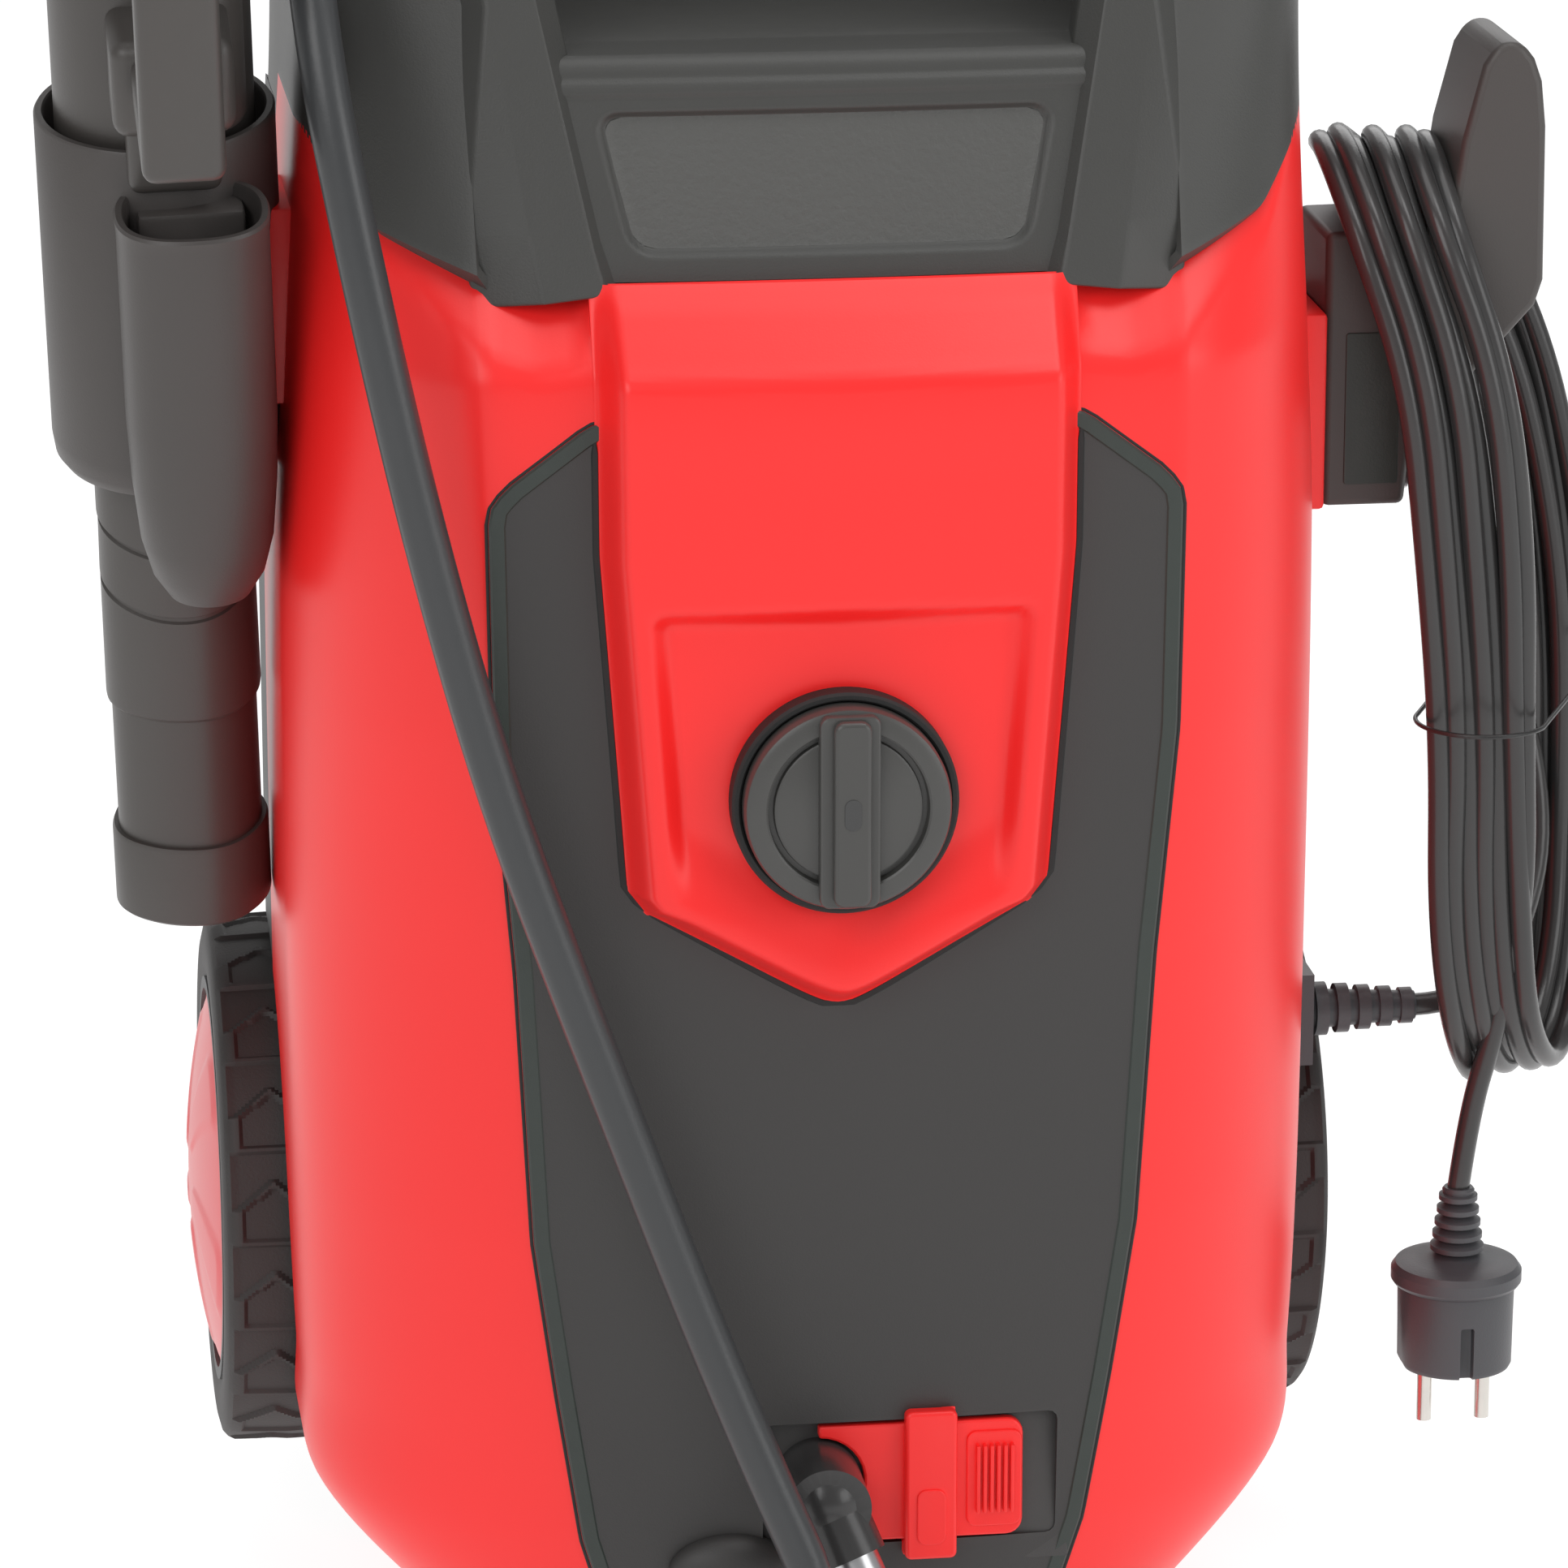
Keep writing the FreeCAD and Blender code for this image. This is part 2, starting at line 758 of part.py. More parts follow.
def upright(name, low, high, radius):
    """A cylinder on the motor's axis between two heights."""
    return rod(name, "z", (0.0, axis_y, low), size(high) - low, radius)


shaft_radius = S.axle_radius
core_low = S.motor_base + 25.0
core_high = S.motor_top - 30.0
stator = fuse(
    "motor_stator",
    cut(
        "motor_can",
        upright("can_outside", S.motor_base, S.motor_top, S.motor_radius),
        upright("can_inside", S.motor_base + 5.0, S.motor_top - 5.0, S.motor_radius - 3.0),
        upright("can_bore", S.motor_base - 5.0, S.motor_top + 5.0, shaft_radius + S.running),
    ),
    cut(
        "stator_core",
        upright("core_outside", core_low, core_high, S.motor_radius - 3.0),
        upright("core_inside", core_low - 5.0, core_high + 5.0, S.rotor_radius + S.air_gap),
    ),
)
node(stator, "motor_stator")
rotor = fuse(
    "motor_rotor",
    upright("shaft", S.motor_base - 28.0, S.motor_top + 22.0, shaft_radius),
    upright("rotor_core", core_low + 2.0, core_high - 2.0, S.rotor_radius),
)
node(rotor, "motor_rotor")
fan_low = S.motor_top + 6.0
blades = [
    block(f"fan_blade_{i}", (-1.2, 10.0, 0.0), (1.2, S.motor_radius - 12.0, 12.0))
    for i in range(8)
]
for i, blade in enumerate(blades):
    place(blade, (0.0, axis_y, fan_low), ROT(V(0, 0, 1), 45.0 * i))
    blade.Width = S.motor_radius.value - 12.0
    blade.setExpression("Width", (S.motor_radius - 12.0).text)
fan = cut(
    "cooling_fan",
    fuse(
        "fan_solid",
        upright("fan_plate", fan_low, fan_low + 2.5, S.motor_radius - 12.0),
        upright("fan_hub", fan_low, fan_low + 13.0, 14.0),
        *blades,
    ),
    upright("fan_bore", fan_low - 2.0, fan_low + 20.0, shaft_radius),
)
node(fan, "cooling_fan")

# ---------------------------------------------------------------- pump

wobble_low = S.pump_top + 18.5
wobble = cut(
    "wobble_plate",
    upright("wobble_disc", wobble_low, S.motor_base - 4.0, S.pump_radius - 12.0),
    upright("wobble_bore", S.motor_base - 28.0, S.motor_base, shaft_radius),
    shaped(
        "wobble_slant",
        Part.makeBox(120, 120, 30, V(-60, -60, -30)),
        (0, -S.pump_front.value, wobble_low.value + S.stroke.value / 2),
        ROT(V(1, 0, 0), math.degrees(math.atan(S.stroke.value / 2 / (S.pump_radius.value - 12)))),
    ),
)
node(wobble, "wobble_plate")

piston_places = []
for i in range(3):
    angle = math.radians(90 + 120 * i)
    piston_places.append(
        (S.piston_circle * math.cos(angle), axis_y + S.piston_circle * math.sin(angle))
    )
bores = [
    rod(
        f"piston_bore_{i}",
        "z",
        (x, y, S.pump_top - 48.0),
        60.0,
        S.piston_radius + S.running,
    )
    for i, (x, y) in enumerate(piston_places, start=1)
]
pump = cut(
    "pump_head",
    fuse(
        "pump_solid",
        upright("pump_block", S.pump_base, S.pump_top, S.pump_radius),
        cut(
            "pump_skirt",
            upright("skirt_outside", S.pump_top - 1.0, S.motor_base, S.pump_radius),
            upright("skirt_inside", S.pump_top - 2.0, S.motor_base + 5.0, S.pump_radius - 6.0),
        ),
    ),
    *bores,
)
node(pump, "pump_head")
for i, (x, y) in enumerate(piston_places, start=1):
    piston = fuse(
        f"piston_{i}",
        rod(f"plunger_{i}", "z", (x, y, S.pump_top - 38.0), 52.0, S.piston_radius),
        rod(f"piston_cap_{i}", "z", (x, y, S.pump_top + 14.0), 4.0, S.piston_radius + 3.0),
    )
    node(piston, f"piston_{i}")
    spring = cut(
        f"piston_spring_{i}",
        rod(f"spring_outside_{i}", "z", (x, y, S.pump_top), 14.0, S.piston_radius + 2.6),
        rod(f"spring_inside_{i}", "z", (x, y, S.pump_top - 1.0), 16.0, S.piston_radius + 0.4),
    )
    node(spring, f"piston_spring_{i}")

# ---------------------------------------------------------------- water ways and electrics

coupling_back = 24.0 - S.front_reach
riser_y = axis_y - S.pump_radius - 9.0
manifold = fuse(
    "manifold_solid",
    block(
        "manifold_block",
        (-S.outlet_left - 14.0, riser_y - 6.0, S.pump_base + 6.0),
        (-S.outlet_left + 14.0, axis_y - S.pump_radius + 1.0 - 0.5, S.outlet_rise + 14.0),
    ),
    rod(
        "manifold_pipe",
        "y",
        (-S.outlet_left, coupling_back, S.outlet_rise),
        riser_y - coupling_back,
        S.outlet_radius - 2.0,
    ),
)
manifold_clear = cut("outlet_manifold_fitted", manifold, upright("manifold_seat", 0.0, 200.0, S.pump_radius))
node(manifold_clear, "outlet_manifold")

inlet_end = S.rear_reach + 14.0
inlet = fuse(
    "inlet_solid",
    rod(
        "inlet_thread",
        "y",
        (S.inlet_right, inlet_end - S.inlet_length, S.inlet_rise),
        S.inlet_length,
        S.inlet_radius,
    ),
    rod("inlet_flange", "y", (S.inlet_right, S.rear_reach - 8.0, S.inlet_rise), 7.0, S.inlet_radius + 3.0),
    rod("inlet_pipe", "y", (S.inlet_right, 20.0, S.inlet_rise), S.rear_reach - 26.0, 8.0),
    block(
        "inlet_elbow",
        (30.0, 8.0, S.inlet_rise - 9.0),
        (S.inlet_right + 9.0, 26.0, S.inlet_rise + 9.0),
    ),
)
inlet_bored = cut(
    "water_inlet_bored",
    inlet,
    rod("inlet_bore", "y", (S.inlet_right, S.rear_reach - 7.0, S.inlet_rise), 40.0, 9.0),
    upright("inlet_seat", 0.0, 200.0, S.pump_radius),
)
node(inlet_bored, "water_inlet")
node(
    cut(
        "inlet_filter",
        rod("filter_basket", "y", (S.inlet_right, S.rear_reach - 7.0, S.inlet_rise), 17.0, 9.0),
        rod("filter_hollow", "y", (S.inlet_right, S.rear_reach - 4.0, S.inlet_rise), 25.0, 7.4),
    ),
    "inlet_filter",
)
node(
    block(
        "pressure_switch",
        (-68.0, axis_y - 18.0, S.pump_base + 20.0),
        (-S.pump_radius - 0.2, axis_y + 18.0, S.pump_base + 60.0),
    ),
    "pressure_switch",
)
node(rod("capacitor", "z", (-86.0, 20.0, S.motor_base + 30.0), 80.0, 19.0), "capacitor")

# ---------------------------------------------------------------- telescopic handle

tubes = []
for name, side in SIDES:
    start = (S.tube_across * side, tube_line, S.tube_foot)
    length = S.grip_rise - S.tube_foot + 20.0
    tubes.append(
        cut(
            "handle_tube_" + name,
            rod("tube_outside_" + name, "z", start, length, S.tube_radius),
            rod("tube_inside_" + name, "z", start, length, S.tube_radius - S.tube_wall),
        )
    )
node(group("handle_tubes", *tubes), "handle_tubes")
grip_low = (-S.tube_across - 16.0, tube_line - 15.0, S.grip_rise)
grip_high = (S.tube_across + 16.0, tube_line + 15.0, S.grip_rise + S.grip_thick)
tube_pockets = [
    rod(
        "grip_pocket_" + name,
        "z",
        (S.tube_across * side, tube_line, S.grip_rise - 5.0),
        25.0,
        S.tube_radius,
    )
    for name, side in SIDES
]
button_half = 16.0
button_low = S.grip_rise + S.grip_thick - 10.0
grip = cut(
    "handle_grip",
    block("grip_bar", grip_low, grip_high),
    block(
        "grip_button_pocket",
        (-button_half - S.gap, tube_line - 7.0 - S.gap, button_low - 6.0),
        (button_half + S.gap, tube_line + 7.0 + S.gap, S.grip_rise + S.grip_thick + 5.0),
    ),
    *tube_pockets,
)
node(grip, "handle_grip")
node(
    block(
        "handle_button",
        (-button_half, tube_line - 7.0, button_low),
        (button_half, tube_line + 7.0, S.grip_rise + S.grip_thick + 5.0),
    ),
    "handle_button",
)

# ---------------------------------------------------------------- holder and gun, built upright, then leaned

LEAN = ROT(V(1, 0, 0), S.gun_tilt.value) * ROT(V(0, 1, 0), S.gun_lean.value)
GUN_AT = (-S.cup_left, -S.cup_front, S.cup_rise)


def lean(item):
    """Lean a finished piece about the middle of the gun cup's rim."""
    return place(item, GUN_AT, LEAN)


small_x = 8.0
small_y = -46.0
small_radius = 22.5
bore_radius = S.barrel_radius + 1.2
cups = fuse(
    "cups_solid",
    rod("cup_outside", "z", (0.0, 0.0, -S.cup_depth), S.cup_depth, S.cup_radius),
    rod("small_outside", "z", (small_x, small_y, -S.cup_depth - 2.0), S.cup_depth - 12.0, small_radius),
    cone(
        "small_taper",
        "z",
        (small_x, small_y, -S.cup_depth - 26.0),
        24.0,
        small_radius - 7.0,
        small_radius,
    ),
    block("cup_bracket", (20.0, -30.0, -S.cup_depth + 26.0), (S.cup_left - S.shell_half - 6.5, 24.0, -34.0)),
)
holder = cut(
    "holder_upright",
    cups,
    rod("cup_hollow", "z", (0.0, 0.0, -S.cup_depth + 4.0), S.cup_depth, S.cup_radius - S.cup_wall),
    rod("cup_bore", "z", (0.0, 0.0, -S.cup_depth - 20.0), 60.0, bore_radius),
    rod(
        "small_hollow",
        "z",
        (small_x, small_y, -S.cup_depth + 4.0),
        S.cup_depth + 10.0,
        small_radius - S.cup_wall,
    ),
)
ledge = cut(
    "cup_ledge",
    rod("ledge_outside", "z", (0.0, 0.0, -46.0), 4.0, S.cup_radius - 1.0),
    rod("ledge_hole", "z", (0.0, 0.0, -50.0), 12.0, bore_radius),
)
holder_leaned = lean(fuse("holder_leaned", holder, ledge))
pad_trim = block(
    "pad_trim",
    (-S.shell_half - 5.5, -90.0, S.tip_rise - 140.0),
    (-S.shell_half + 40.0, 60.0, S.tip_rise + 20.0),
)
node(cut("gun_holder", holder_leaned, pad_trim), "gun_holder")

gun_top = 118.0
gun_solid = fuse(
    "gun_solid",
    rod("barrel", "z", (0.0, 0.0, -S.barrel_length + 53.0), S.barrel_length - 94.7, S.barrel_radius),
    rod("barrel_neck", "z", (0.0, 0.0, -S.barrel_length + 20.0), 60.0, S.barrel_radius - 1.6),
    cone(
        "gun_shoulder",
        "z",
        (0.0, 0.0, -41.7),
        24.0,
        S.barrel_radius,
        S.gun_radius,
    ),
    rod("gun_body", "z", (0.0, 0.0, -17.7), 17.7 + gun_top, S.gun_radius),
    rod("gun_boss", "z", (10.0, -14.0, 2.0), 43.0, 17.0),
    block("gun_guard_foot", (-14.0, -58.0, 20.0), (22.0, -10.0, 44.0)),
    block("gun_guard", (-8.0, -108.0, 26.0), (16.0, -54.0, 40.0)),
    block("gun_guard_front", (-8.0, -118.0, 26.0), (16.0, -102.0, 128.0)),
    block("gun_grip", (-13.0, -122.0, 92.0), (21.0, 0.0, 128.0)),
)
trigger_room = block("trigger_room", (-4.0, -101.0, 70.0), (12.0, -26.0, 102.0))
pin_room = rod("trigger_pin_room", "x", (-20.0, -34.0, 96.0), 50.0, 3.0 + S.running)
inlet_room = rod("gun_inlet_room", "y", (4.0, -130.0, 112.0), 40.0, 7.0)
gun = cut("gun_hollowed", gun_solid, trigger_room, pin_room, inlet_room)
half_left = block("gun_left_side", (-60.0, -160.0, -300.0), (4.0, 60.0, 160.0))
half_right = block("gun_right_side", (4.0, -160.0, -300.0), (80.0, 60.0, 160.0))
node(lean(common("gun_half_left", gun, half_left)), "gun_half_left")
node(lean(common("gun_half_right", gun, half_right)), "gun_half_right")
collar = cut(
    "gun_collar",
    rod("collar_outside", "z", (0.0, 0.0, -S.barrel_length), 28.0, S.barrel_radius + 0.4),
    rod("collar_bore", "z", (0.0, 0.0, -S.barrel_length - 1.0), 21.0, 13.0),
    rod("collar_seat", "z", (0.0, 0.0, -S.barrel_length + 20.0), 20.0, S.barrel_radius - 1.6),
)
node(lean(collar), "gun_collar")
node(
    lean(
        cut(
            "gun_inlet",
            rod("gun_nipple", "y", (4.0, -130.0, 112.0), 40.0, 7.0),
            rod("gun_nipple_bore", "y", (4.0, -134.0, 112.0), 40.0, 3.0),
        )
    ),
    "gun_inlet",
)
lock_pin_room = rod("lock_pin_room", "x", (-4.0, -88.0, 82.0), 16.0, 1.5 + S.running)
lock_slot_back = -72.0
lock_room = block("lock_room", (1.0 - S.gap, -95.0, 78.0), (7.0 + S.gap, lock_slot_back, 88.0))
trigger = cut(
    "gun_trigger",
    fuse(
        "trigger_solid",
        block("trigger_blade", (-3.0, -96.0, 79.0), (11.0, -37.5, 86.5)),
        block("trigger_root", (-3.0, -40.0, 79.0), (11.0, -28.0, 100.0)),
        rod("trigger_pin", "x", (-12.0, -34.0, 96.0), 32.0, 3.0),
    ),
    lock_pin_room,
    lock_room,
)
node(lean(trigger), "gun_trigger")
trigger_lock = fuse(
    "trigger_lock",
    block("lock_tab", (1.0, -92.0, 68.0), (7.0, -84.0, 82.0)),
    rod("lock_knuckle", "x", (1.0, -88.0, 82.0), 6.0, 3.0),
    rod("lock_pin", "x", (-2.0, -88.0, 82.0), 12.0, 1.5),
)
node(lean(trigger_lock), "trigger_lock")

# ---------------------------------------------------------------- cord hook and hose hook

hook_x = S.shell_half + 7.5
hook_outline = [
    (hook_x, S.tip_rise - 134.0),
    (hook_x + 26.0, S.tip_rise - 134.0),
    (hook_x + 27.0, S.tip_rise - 118.0),
    (hook_x + 66.0, S.tip_rise - 72.0),
    (hook_x + 68.0, S.tip_rise - 16.0),
    (hook_x + 65.0, S.tip_rise + 4.0),
    (hook_x + 58.0, S.tip_rise + 11.0),
    (hook_x + 50.0, S.tip_rise + 8.0),
    (hook_x + 42.0, S.tip_rise - 20.0),
    (hook_x + 38.0, S.tip_rise - 44.0),
    (hook_x + 10.0, S.tip_rise - 50.0),
    (hook_x, S.tip_rise - 47.0),
]
node(pad("cord_hook", "XZ", hook_outline, -34.0, 46.0), "cord_hook")

hose_hook_outline = [
    (S.rear_reach, S.tip_rise - 70.0),
    (S.rear_reach + 6.0, S.tip_rise - 70.0),
    (S.rear_reach + 6.0, S.tip_rise - 28.0),
    (S.rear_reach + 79.0, S.tip_rise - 26.0),
    (S.rear_reach + 88.0, S.tip_rise - 18.0),
    (S.rear_reach + 94.0, S.tip_rise + 16.0),
    (S.rear_reach + 88.0, S.tip_rise + 16.0),
    (S.rear_reach + 81.0, S.tip_rise - 16.0),
    (S.rear_reach + 6.0, S.tip_rise - 18.0),
    (S.rear_reach + 6.0, S.tip_rise - 14.0),
    (S.rear_reach, S.tip_rise - 14.0),
]
hose_hook = pad("hose_hook", "YZ", hose_hook_outline, -17.0, 34.0)
node(hose_hook, "hose_hook")


def screw(name, axis, head_at, head_length, shank_at, shank_length):
    return fuse(
        name,
        rod(name + "_head", axis, head_at, head_length, 4.0),
        rod(name + "_shank", axis, shank_at, shank_length, 2.0),
    )


hook_face = hook_x + 26.0
hook_screws = [
    screw(
        f"hook_screw_{i}",
        "x",
        (hook_face, -24.0 + 26.0 * i, S.tip_rise - 127.0),
        2.5,
        (hook_face - 20.0, -24.0 + 26.0 * i, S.tip_rise - 127.0),
        20.5,
    )
    for i in range(2)
]
holder_screws = [
    screw(
        f"holder_screw_{i}",
        "x",
        (-S.shell_half + 4.5, -34.0 + 22.0 * i, S.tip_rise - 60.0),
        2.5,
        (-S.shell_half - 7.0, -34.0 + 22.0 * i, S.tip_rise - 60.0),
        12.0,
    )
    for i in range(2)
]
node(group("accessory_screws", *hook_screws, *holder_screws), "accessory_screws")
housing_screws = [
    screw(
        f"housing_screw_{n}_{i}",
        "y",
        ((S.shell_half - 30.0) * side, S.rear_reach, rise),
        2.5,
        ((S.shell_half - 30.0) * side, S.rear_reach - 14.0, rise),
        14.5,
    )
    for n, side in SIDES
    for i, rise in enumerate((240.0, 330.0, 420.0))
]
node(group("housing_screws", *housing_screws), "housing_screws")

# ---------------------------------------------------------------- hose lock and outlet

lock_floor = 22.0 - S.front_reach
plate_low = S.outlet_rise - 20.0
plate_high = S.outlet_rise + 18.0
thumb_ribs = [
    block(
        f"lock_rib_{i}",
        (43.0 + 4.0 * i, lock_floor - 8.5, plate_low + 7.0),
        (45.0 + 4.0 * i, lock_floor - 4.0, plate_high - 7.0),
    )
    for i in range(4)
]
lock_slide = cut(
    "hose_lock_slide",
    fuse(
        "lock_plate",
        block("lock_sheet", (-12.0, lock_floor - 4.6, plate_low), (58.0, lock_floor - 0.4, plate_high)),
        *thumb_ribs,
    ),
    rod(
        "lock_notch",
        "y",
        (-S.outlet_left, lock_floor - 10.0, S.outlet_rise),
        20.0,
        S.outlet_radius + 1.0,
    ),
    block(
        "lock_notch_side",
        (-20.0, lock_floor - 10.0, plate_low - 5.0),
        (-S.outlet_left, lock_floor + 5.0, plate_high + 5.0),
    ),
)
node(lock_slide, "hose_lock_slide")
bridge = cut(
    "hose_lock_bridge",
    block("bridge_block", (21.0, lock_floor - 9.5, plate_low - 5.0), (37.0, lock_floor, plate_high + 5.0)),
    block(
        "bridge_tunnel",
        (15.0, lock_floor - 5.0, plate_low - S.gap),
        (45.0, lock_floor + 1.0, plate_high + S.gap),
    ),
)
node(bridge, "hose_lock_bridge")

FERRULE_HEADING = V(0.36, -0.36, -0.86).normalize()
coupling_front = S.front_reach.value + 6.0
elbow_at = V(-S.outlet_left.value, -coupling_front + 10.0, S.outlet_rise.value)
coupling = Part.makeCylinder(
    S.outlet_radius.value,
    coupling_front + coupling_back.value,
    V(-S.outlet_left.value, coupling_back.value, S.outlet_rise.value),
    V(0, -1, 0),
)
coupling = coupling.fuse(Part.makeSphere(S.outlet_radius.value, elbow_at))
coupling = coupling.fuse(
    Part.makeCylinder(S.outlet_radius.value - 2.0, 20.0, elbow_at, FERRULE_HEADING)
)
node(shaped("outlet_coupling", coupling.removeSplitter()), "outlet_coupling")
ferrule_from = elbow_at + FERRULE_HEADING * 20.0
ferrule_to = elbow_at + FERRULE_HEADING * 36.0
node(
    shaped(
        "hose_ferrule",
        Part.makeCylinder(S.hose_diameter.value / 2 + 1.6, 16.0, ferrule_from, FERRULE_HEADING),
    ),
    "hose_ferrule",
)

# ---------------------------------------------------------------- high-pressure hose

HOSE_ROUTE = [
    tuple(ferrule_to),
    tuple(ferrule_to + FERRULE_HEADING * 30.0),
    (43.0, -205.0, 10.0),
    (80.0, -240.0, 8.0),
    (81.0, -302.0, 8.0),
    (36.0, -347.0, 8.0),
    (-28.0, -345.0, 8.0),
    (-72.0, -300.0, 8.0),
    (-70.0, -238.0, 8.0),
    (-31.0, -200.0, 14.0),
    (-6.0, -182.0, 56.0),
    (-28.0, -174.0, 107.0),
    (-48.0, -168.0, 158.0),
    (-76.0, -165.0, 236.0),
    (-103.0, -163.0, 312.0),
    (-124.0, -162.0, 392.0),
    (-140.0, -160.0, 468.0),
    (-152.0, -150.0, 536.0),
    (-153.0, -112.0, 592.0),
    (-144.0, -46.0, 613.0),
    (-122.0, 24.0, 616.0),
    (-86.0, 88.0, 610.0),
    (-62.0, 134.0, 572.0),
    (-64.0, 146.0, 512.0),
    (-77.0, 142.0, 448.0),
]
COIL_MIDDLE = (0.0, 142.0, 426.5)
COIL_RING = 76.0
COIL_THICK = 21.0
tube("pressure_hose", HOSE_ROUTE, S.hose_diameter.value / 2)
coil = doc.addObject("Part::Torus", "pressure_hose_coil")
coil.Radius1 = COIL_RING
coil.Radius2 = COIL_THICK
place(coil, COIL_MIDDLE, ROT(V(1, 0, 0), 90))
node(coil, "pressure_hose_coil")
end_at = V(-COIL_RING - 14.0, COIL_MIDDLE[1] + 8.0, COIL_MIDDLE[2] - 30.0)
hose_end = Part.makeCylinder(8.5, 26.0, end_at - V(0, 0, 8), V(0, 0, -1))
hose_end = hose_end.fuse(Part.makeCylinder(11.5, 22.0, end_at - V(0, 0, 34), V(0, 0, -1)))
hose_end = hose_end.fuse(Part.makeCylinder(5.5, 14.0, end_at - V(0, 0, 56), V(0, 0, -1)))
node(shaped("hose_end", hose_end.removeSplitter()), "hose_end")

# ---------------------------------------------------------------- power cord

GLAND = V(S.shell_half.value, -14.0, 190.0)
gland = Part.makeBox(10.0, 24.0, 30.0, GLAND + V(0.0, -12.0, -15.0))
gland = gland.fuse(Part.makeCylinder(8.9, 12.0, GLAND - V(12.0, 0, 0), V(1, 0, 0)))
for i in range(5):
    rib = Part.makeCylinder(8.6 - 0.7 * i, 4.0, GLAND + V(12.0 + 7.0 * i, 0, 0), V(1, 0, 0))
    gland = gland.fuse(rib)
gland = gland.fuse(Part.makeCone(6.6, 4.6, 36.0, GLAND + V(9.0, 0, 0), V(1, 0, 0)))
node(shaped("cord_gland", gland.removeSplitter()), "cord_gland")
lead_from = GLAND + V(45.0, 0, 0)
LEAD_ROUTE = [
    tuple(lead_from),
    tuple(lead_from + V(17.0, -0.5, 0.5)),
    (239.0, -4.0, 204.0),
    (254.0, 20.0, 240.0),
]
tube("power_cord_lead", LEAD_ROUTE, S.cord_diameter.value / 2)
BUNDLE_ROUTE = [
    (186.0, -52.0, 476.0),
    (210.0, -52.0, 400.0),
    (217.0, -53.0, 300.0),
    (219.0, -48.0, 205.0),
    (238.0, -14.0, 166.0),
    (258.0, 22.0, 205.0),
    (256.0, 34.0, 300.0),
    (238.0, 36.0, 400.0),
    (188.0, 36.0, 476.0),
]
tube("power_cord_bundle", BUNDLE_ROUTE, 15.0, closed=True)
PLUG_TOP = V(217.0, -26.0, 132.0)
TAIL_ROUTE = [
    (224.0, -38.0, 186.0),
    (219.0, -31.0, 160.0),
    tuple(PLUG_TOP),
]
tube("power_cord_tail", TAIL_ROUTE, S.cord_diameter.value / 2)
plug = Part.makeCone(4.6, 7.5, 24.0, PLUG_TOP, V(0, 0, -1))
plug = plug.fuse(Part.makeCylinder(21.0, 8.0, PLUG_TOP - V(0, 0, 24.0), V(0, 0, -1)))
plug = plug.fuse(Part.makeCylinder(18.8, 28.0, PLUG_TOP - V(0, 0, 32.0), V(0, 0, -1)))
node(shaped("plug_body", plug.removeSplitter()), "plug_body")
pins = [
    shaped(
        f"plug_pin_{i}",
        Part.makeCylinder(2.4, 19.0, PLUG_TOP + V(9.5 * (2 * i - 1), 0, -60.0), V(0, 0, -1)),
    )
    for i in range(2)
]
node(group("plug_pins", *pins), "plug_pins")

# ---------------------------------------------------------------- check and write

doc.recompute()
faults = []
for item in doc.Objects:
    if {"Invalid", "Error"} & set(item.State):
        faults.append(f"{item.Name}: {item.State}")
for item in nodes:
    if item.Shape.isNull() or not item.Shape.isValid() or not item.Shape.Solids:
        faults.append(f"{item.Label}: no valid solid")
if faults:
    raise SystemExit("\n".join(faults))
for item in nodes:
    item.Shape.exportStep(f"parts/{item.Label}.step")
box = FreeCAD.BoundBox()
for item in nodes:
    box.add(item.Shape.BoundBox)
print(len(nodes), "nodes", box)
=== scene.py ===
import json
import math
import random

import bpy
from mathutils import Matrix, Vector


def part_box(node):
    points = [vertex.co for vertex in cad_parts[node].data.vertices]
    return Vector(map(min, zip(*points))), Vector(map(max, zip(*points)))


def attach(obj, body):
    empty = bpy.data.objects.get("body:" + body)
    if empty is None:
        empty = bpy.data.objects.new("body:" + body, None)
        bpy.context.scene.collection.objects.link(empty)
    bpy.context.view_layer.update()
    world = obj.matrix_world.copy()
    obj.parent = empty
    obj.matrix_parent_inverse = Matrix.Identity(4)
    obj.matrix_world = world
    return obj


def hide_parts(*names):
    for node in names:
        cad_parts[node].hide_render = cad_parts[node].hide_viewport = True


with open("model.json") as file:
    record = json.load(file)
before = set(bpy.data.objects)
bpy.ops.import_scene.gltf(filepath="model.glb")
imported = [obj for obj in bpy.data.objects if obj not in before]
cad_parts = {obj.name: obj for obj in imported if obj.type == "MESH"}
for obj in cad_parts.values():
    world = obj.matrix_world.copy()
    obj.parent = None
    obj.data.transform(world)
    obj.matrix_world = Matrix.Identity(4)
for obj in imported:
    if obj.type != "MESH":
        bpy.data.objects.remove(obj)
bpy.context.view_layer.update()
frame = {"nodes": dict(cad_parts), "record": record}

bl_info = {
    "name": "Pressure washer",
    "version": (1, 0, 0),
    "blender": (4, 5, 0),
    "location": "View3D > Sidebar > Washer",
    "description": "Builds the looks of an upright electric pressure washer round its frame",
    "category": "Object",
}

NODES = frame["nodes"]

# ---------------------------------------------------------------- places that the frame gives

